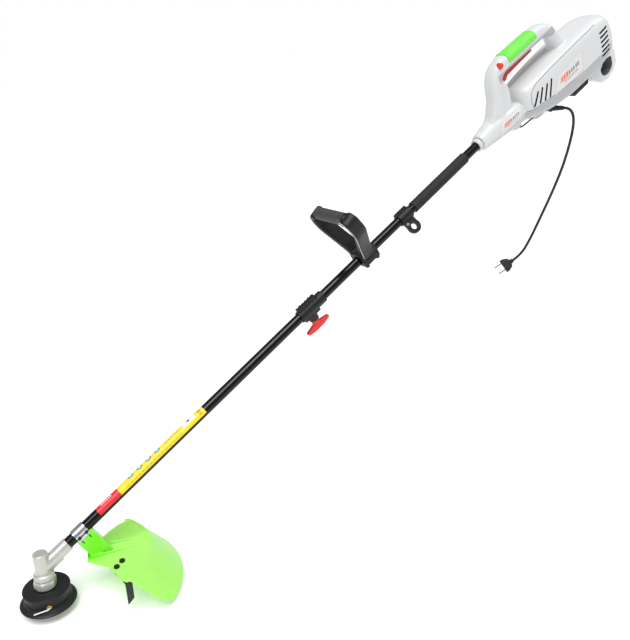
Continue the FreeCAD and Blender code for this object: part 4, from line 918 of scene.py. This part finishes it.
def label_paint(along, around):
    """Which film colour shows at millimetres from its lower end and from its near edge.

    0 red, 1 yellow, 2 white, 3 cyan, 4 ink, 5 ochre.
    """
    if along < 48:
        if 1.2 < around < 19 and 5 < along < 43:
            bar = int(around / 3.2)
            if bar in (2, 4) and (along * 0.5 + bar) % 2 < 1.3 and 10 < along < 36:
                return 2 if bar == 4 else 0
        return 0
    if along < 49.2:
        return 5
    for centre in (80, 101, 122, 143):
        reach = math.hypot(along - centre, (around - 16) * 1.25)
        if reach < 5.2:
            return 2 if reach < 2.4 else 3
        if reach < 6.4:
            return 4
    if 204 < along < 233 and 9 < around < 20:
        inside = math.hypot((along - 218) / 3.2, (around - 14.5) / 3.0)
        return 4 if inside < 1 and around > 12.5 else 2
    line = (around - 3) % 4.6
    if 2.6 < around < 9 and line < 1.5 and along % 9 < 7.2 and 60 < along < 196:
        return 5
    if 160 < along < 197 and 10 < around < 20 and line < 2.0 and along % 7 < 5.4:
        return 5
    if along > 240 and 4 < around < 18 and along < 247:
        return 5
    return 1


def make_tube_label(m):
    """The film on the lower tube: it leaves a dark strip along the lower near side."""
    bm = bmesh.new()
    nu, nt = 506, 84
    start, end = math.radians(6), math.radians(290)
    rows = []
    for layer in (10.14, 10.02):
        grid = []
        for i in range(nu + 1):
            u = 125 + 253 * i / nu
            row = []
            for j in range(nt + 1):
                angle = start + (end - start) * j / nt
                row.append(bm.verts.new((u, -layer * math.cos(angle), layer * math.sin(angle))))
            grid.append(row)
        rows.append(grid)
    top, low = rows
    for i in range(nu):
        for j in range(nt):
            face = bm.faces.new((top[i][j], top[i + 1][j], top[i + 1][j + 1], top[i][j + 1]))
            face.material_index = label_paint(253 * (i + 0.5) / nu, 10.14 * (end - start) * (j + 0.5) / nt)
            bm.faces.new((low[i][j], low[i][j + 1], low[i + 1][j + 1], low[i + 1][j]))
    for i in range(nu):
        bm.faces.new((top[i][0], low[i][0], low[i + 1][0], top[i + 1][0]))
        bm.faces.new((top[i][nt], top[i + 1][nt], low[i + 1][nt], low[i][nt]))
    for j in range(nt):
        bm.faces.new((top[0][j], top[0][j + 1], low[0][j + 1], low[0][j]))
        bm.faces.new((top[nu][j], low[nu][j], low[nu][j + 1], top[nu][j + 1]))
    mesh = placed(mesh_from(bm), SHAFT)
    inks = [m["label_" + ink] for ink in ("red", "yellow", "white", "cyan", "ink", "ochre")]
    add_piece("tube_film", mesh, "lower_unit", inks, ("tube_label",), sharp=40)


def ridged_bar(radius, length, ridges, depth, inner, end_radius, segments_per=8):
    """A sleeve with ridges along its length."""
    count = ridges * segments_per
    outline = []
    for i in range(count):
        phase = (i % segments_per) / segments_per
        dip = depth * (0.5 - 0.5 * math.cos(2 * math.pi * phase)) ** 0.6
        outline.append(radius - depth + dip)
    rings = []

    def ring(z, radii):
        row = []
        for i in range(count):
            angle = 2 * math.pi * i / count
            row.append((radii[i] * math.cos(angle), radii[i] * math.sin(angle), z))
        return row

    flat = [end_radius] * count
    hole = [inner] * count
    rings.append(ring(0, hole))
    rings.append(ring(0, [r - 0.8 for r in flat]))
    rings.append(ring(0.8, flat))
    rings.append(ring(4, flat))
    rings.append(ring(6, outline))
    rings.append(ring(length - 6, outline))
    rings.append(ring(length - 4, flat))
    rings.append(ring(length - 0.8, flat))
    rings.append(ring(length, [r - 0.8 for r in flat]))
    rings.append(ring(length, hole))
    return skin_rings(rings, loop=True)


def make_shaft(m):
    for name in ("lower_tube", "upper_tube"):
        mesh = painted(NODES[name].data, m["tube"])
        mesh.shade_smooth()
        mesh.set_sharp_from_angle(angle=math.radians(40))
    make_tube_label(m)
    foam = ridged_bar(12.25, 174, 22, 0.55, 10.05, 12.25)
    add_piece("foam_sleeve", placed(foam, along_shaft(978)), "handle_unit", [m["foam"]],
              ("shaft_grip",), sharp=60)
    swing = Matrix.Rotation(-SWING, 4, "X")
    ribs = [cad_copy("strap_hanger")]
    for index in range(5):
        place = on_shaft(950) @ swing @ Matrix.Translation((-13.5 + 6.7 * index, 0, 14.6))
        ribs.append(box_mesh((2.6, 14, 4.2), place))
    hanger = moulded(join(ribs), 0.0006, 4, 0.5)
    add_piece("hanger_clamp", hanger, "handle_unit", [m["black"]], ("strap_hanger",))
    ribs = [cad_copy("coupler_body")]
    for index in range(6):
        place = on_shaft(639.5 + 8.2 * index, 0, 14.2)
        ribs.append(box_mesh((2.8, 16, 5.2), place))
    coupler = moulded(join(ribs), 0.0007, 4, 0.5)
    add_piece("coupler_sleeve", coupler, "handle_unit", [m["black"]], ("coupler_body",))
    knob = moulded(cad_copy("wing_knob"), 0.0006, 9, 0.5)
    add_piece("wing_grip", knob, "wing_knob", [m["red"]], ("wing_knob",))


def make_front_handle(m):
    loop = moulded(cad_copy("front_handle"), 0.0009, 9, 0.5)
    add_piece("loop_handle", loop, "front_handle", [m["black"]], ("front_handle",))
    lean = Matrix.Rotation(math.radians(-12), 4, "Y")
    # A thin light strip on both sides, along the loop's flange edge: a painted highlight.
    seam = [Vector(p) for p in ((-15.0, 45, 131.5), (-15.0, 53, 127), (-15.0, 59.5, 112), (-15.0, 60.5, 88),
                                (-15.0, 33, 38), (-15.0, 21.5, 12))]
    strips = []
    for side in (-1, 1):
        run = [on_shaft(827) @ lean @ Vector((p.x, side * p.y, p.z)) for p in seam]
        path = divided(smooth_path(run, [0.004, 0.009, 0.016, 0.014], 8), 0.004)
        strips.append(tube_along(path, [0.0007] * len(path), 8))
    add_piece("loop_edge_highlight", join(strips), "front_handle", [m["edge_highlight"]])
    clamp = moulded(cad_copy("front_handle_clamp"), 0.0007, 6, 0.5)
    add_piece("loop_clamp", clamp, "front_handle", [m["black"]], ("front_handle_clamp",))
    place = on_shaft(827) @ lean @ Matrix.Translation((0, -42.8, 123)) @ TO_Y
    profile = [(8.6, 0), (12.0, 0), (12.45, 0.8), (12.45, 12), (11.9, 13)]
    z = 13.0
    while z < 78:
        profile += [(11.5, z + 0.4), (12.45, z + 1.4), (12.45, z + 5.2), (11.5, z + 6.2)]
        z += 6.6
    profile += [(12.45, z + 0.8), (12.45, 84.8), (12.0, 85.6), (8.6, 85.6)]
    grip = lathe(profile, 72)
    add_piece("loop_grip", placed(grip, place), "front_handle", [m["grip"]],
              ("front_handle_grip",), sharp=50)


# ---------------------------------------------------------------------------------------------- cord

RELIEF = Vector((1262, -3, 660.3))
EXIT = Vector((1310, -14, 658))
PLUG_WAY = Vector((-31, 22, -26.5)).normalized()
CORD_END = Vector((1229, 43, 294))
ROUTE = [
    EXIT,
    EXIT + (EXIT - RELIEF).normalized() * 16.5,
    Vector((1336.5, -24, 643)),
    Vector((1337, -27, 618)),
    Vector((1330, -26, 578)),
    Vector((1318, -19, 521)),
    Vector((1300, -7, 460)),
    Vector((1280, 8, 398)),
    Vector((1262, 20, 346)),
    CORD_END - PLUG_WAY * 24,
    CORD_END,
]


def boot_radius(d, length):
    """The strain relief's radius at a distance along it: tapered, with a flange, then ring grooves."""
    flange_start, flange_end, flange_radius = 11, 14, 8.6
    grooves_start, pitch, groove_width, groove_depth = 15, 4.2, 1.1, 1.2
    radius = 7.4 + (4.9 - 7.4) * d / length
    if d > grooves_start and (d - grooves_start) % pitch < groove_width:
        radius -= groove_depth
    if flange_start < d < flange_end:
        radius = flange_radius
    return radius


def make_boot(m):
    run = EXIT - RELIEF
    steps = 64
    stops = [run.length * i / steps for i in range(steps + 1)]
    points = [HEAD @ (RELIEF + run.normalized() * d) for d in stops]
    radii = [boot_radius(d, run.length) * 0.001 for d in stops]
    boot = tube_along(points, radii, 32)
    add_piece("cord_boot", boot, "handle_unit", [m["rubber"]], ("strain_relief",), sharp=50)


def make_cord(m):
    """The mains cord as one curve, with its strain relief and its plug; places are on the head's axes."""
    curve = bpy.data.curves.new("mains_cord", "CURVE")
    curve.dimensions = "3D"
    curve.bevel_depth = 0.0032
    curve.bevel_resolution = 6
    curve.resolution_u = 12
    curve.use_fill_caps = True
    spline = curve.splines.new("NURBS")
    spline.points.add(len(ROUTE) - 1)
    for point, place in zip(spline.points, ROUTE):
        point.co = (*(HEAD @ place), 1)
    spline.order_u = 3
    spline.use_endpoint_u = True
    curve.materials.append(m["rubber"])
    cord = bpy.data.objects.new("mains_cord", curve)
    bpy.context.scene.collection.objects.link(cord)
    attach(cord, "handle_unit")
    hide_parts("power_cord")

    make_boot(m)

    plug = moulded(cad_copy("plug_body"), 0.0005, 6, 0.5)
    tools = []
    place_plug = HEAD @ Matrix.Translation(CORD_END)
    turn = PLUG_WAY.to_track_quat("Z", "Y").to_matrix().to_4x4()
    for d in (3.0, 6.2):
        spot = place_plug @ Matrix.Translation(PLUG_WAY * d) @ turn
        ring = lathe(eased([(5.0, -0.5), (9, -0.5), (9, 0.5), (5.0, 0.5)], 0.05), 40)
        tools.append(placed(ring, spot, m["rubber"]))
    plug = carved(painted(plug, m["rubber"]), tools)
    body = add_piece("plug_shell", plug, "handle_unit", None, ("plug_body",), sharp=50)


# ---------------------------------------------------------------------------------------------- carried over

CARRIED = {
    "steel": ("gear_bearings", "output_gear", "pinion_gear", "output_shaft", "lower_drive_shaft",
              "upper_drive_shaft", "drive_coupling", "motor_bearings", "motor_coupling", "bump_spring",
              "housing_screws", "trigger_pin", "strap_screw"),
    "dark_steel": ("guard_fasteners", "front_handle_bolts", "coupler_bolts"),
    "bright": ("guard_clamp", "plug_pins"),
    "black": ("line_spool", "lower_bushes", "upper_bushes", "motor_fan", "switch_body", "carbon_brushes"),
    "line": ("line_coil", "line_end"),
    "copper": ("motor_stator",),
    "laminate": ("motor_armature",),
}


def finish_carried(m):
    """Materials for the CAD nodes that show as they are."""
    for key, names in CARRIED.items():
        for name in names:
            mesh = painted(NODES[name].data, m[key])
            mesh.shade_smooth()
            mesh.set_sharp_from_angle(angle=math.radians(35))


# ---------------------------------------------------------------------------------------------- build

add_camera()
MATERIALS = make_materials()
add_studio()
make_cord(MATERIALS)
HOUSING = make_housing(MATERIALS)
make_labels(MATERIALS, HOUSING)
make_housing_trim(MATERIALS, HOUSING)
make_head(MATERIALS)
make_guard(MATERIALS)
make_shaft(MATERIALS)
make_front_handle(MATERIALS)
finish_carried(MATERIALS)
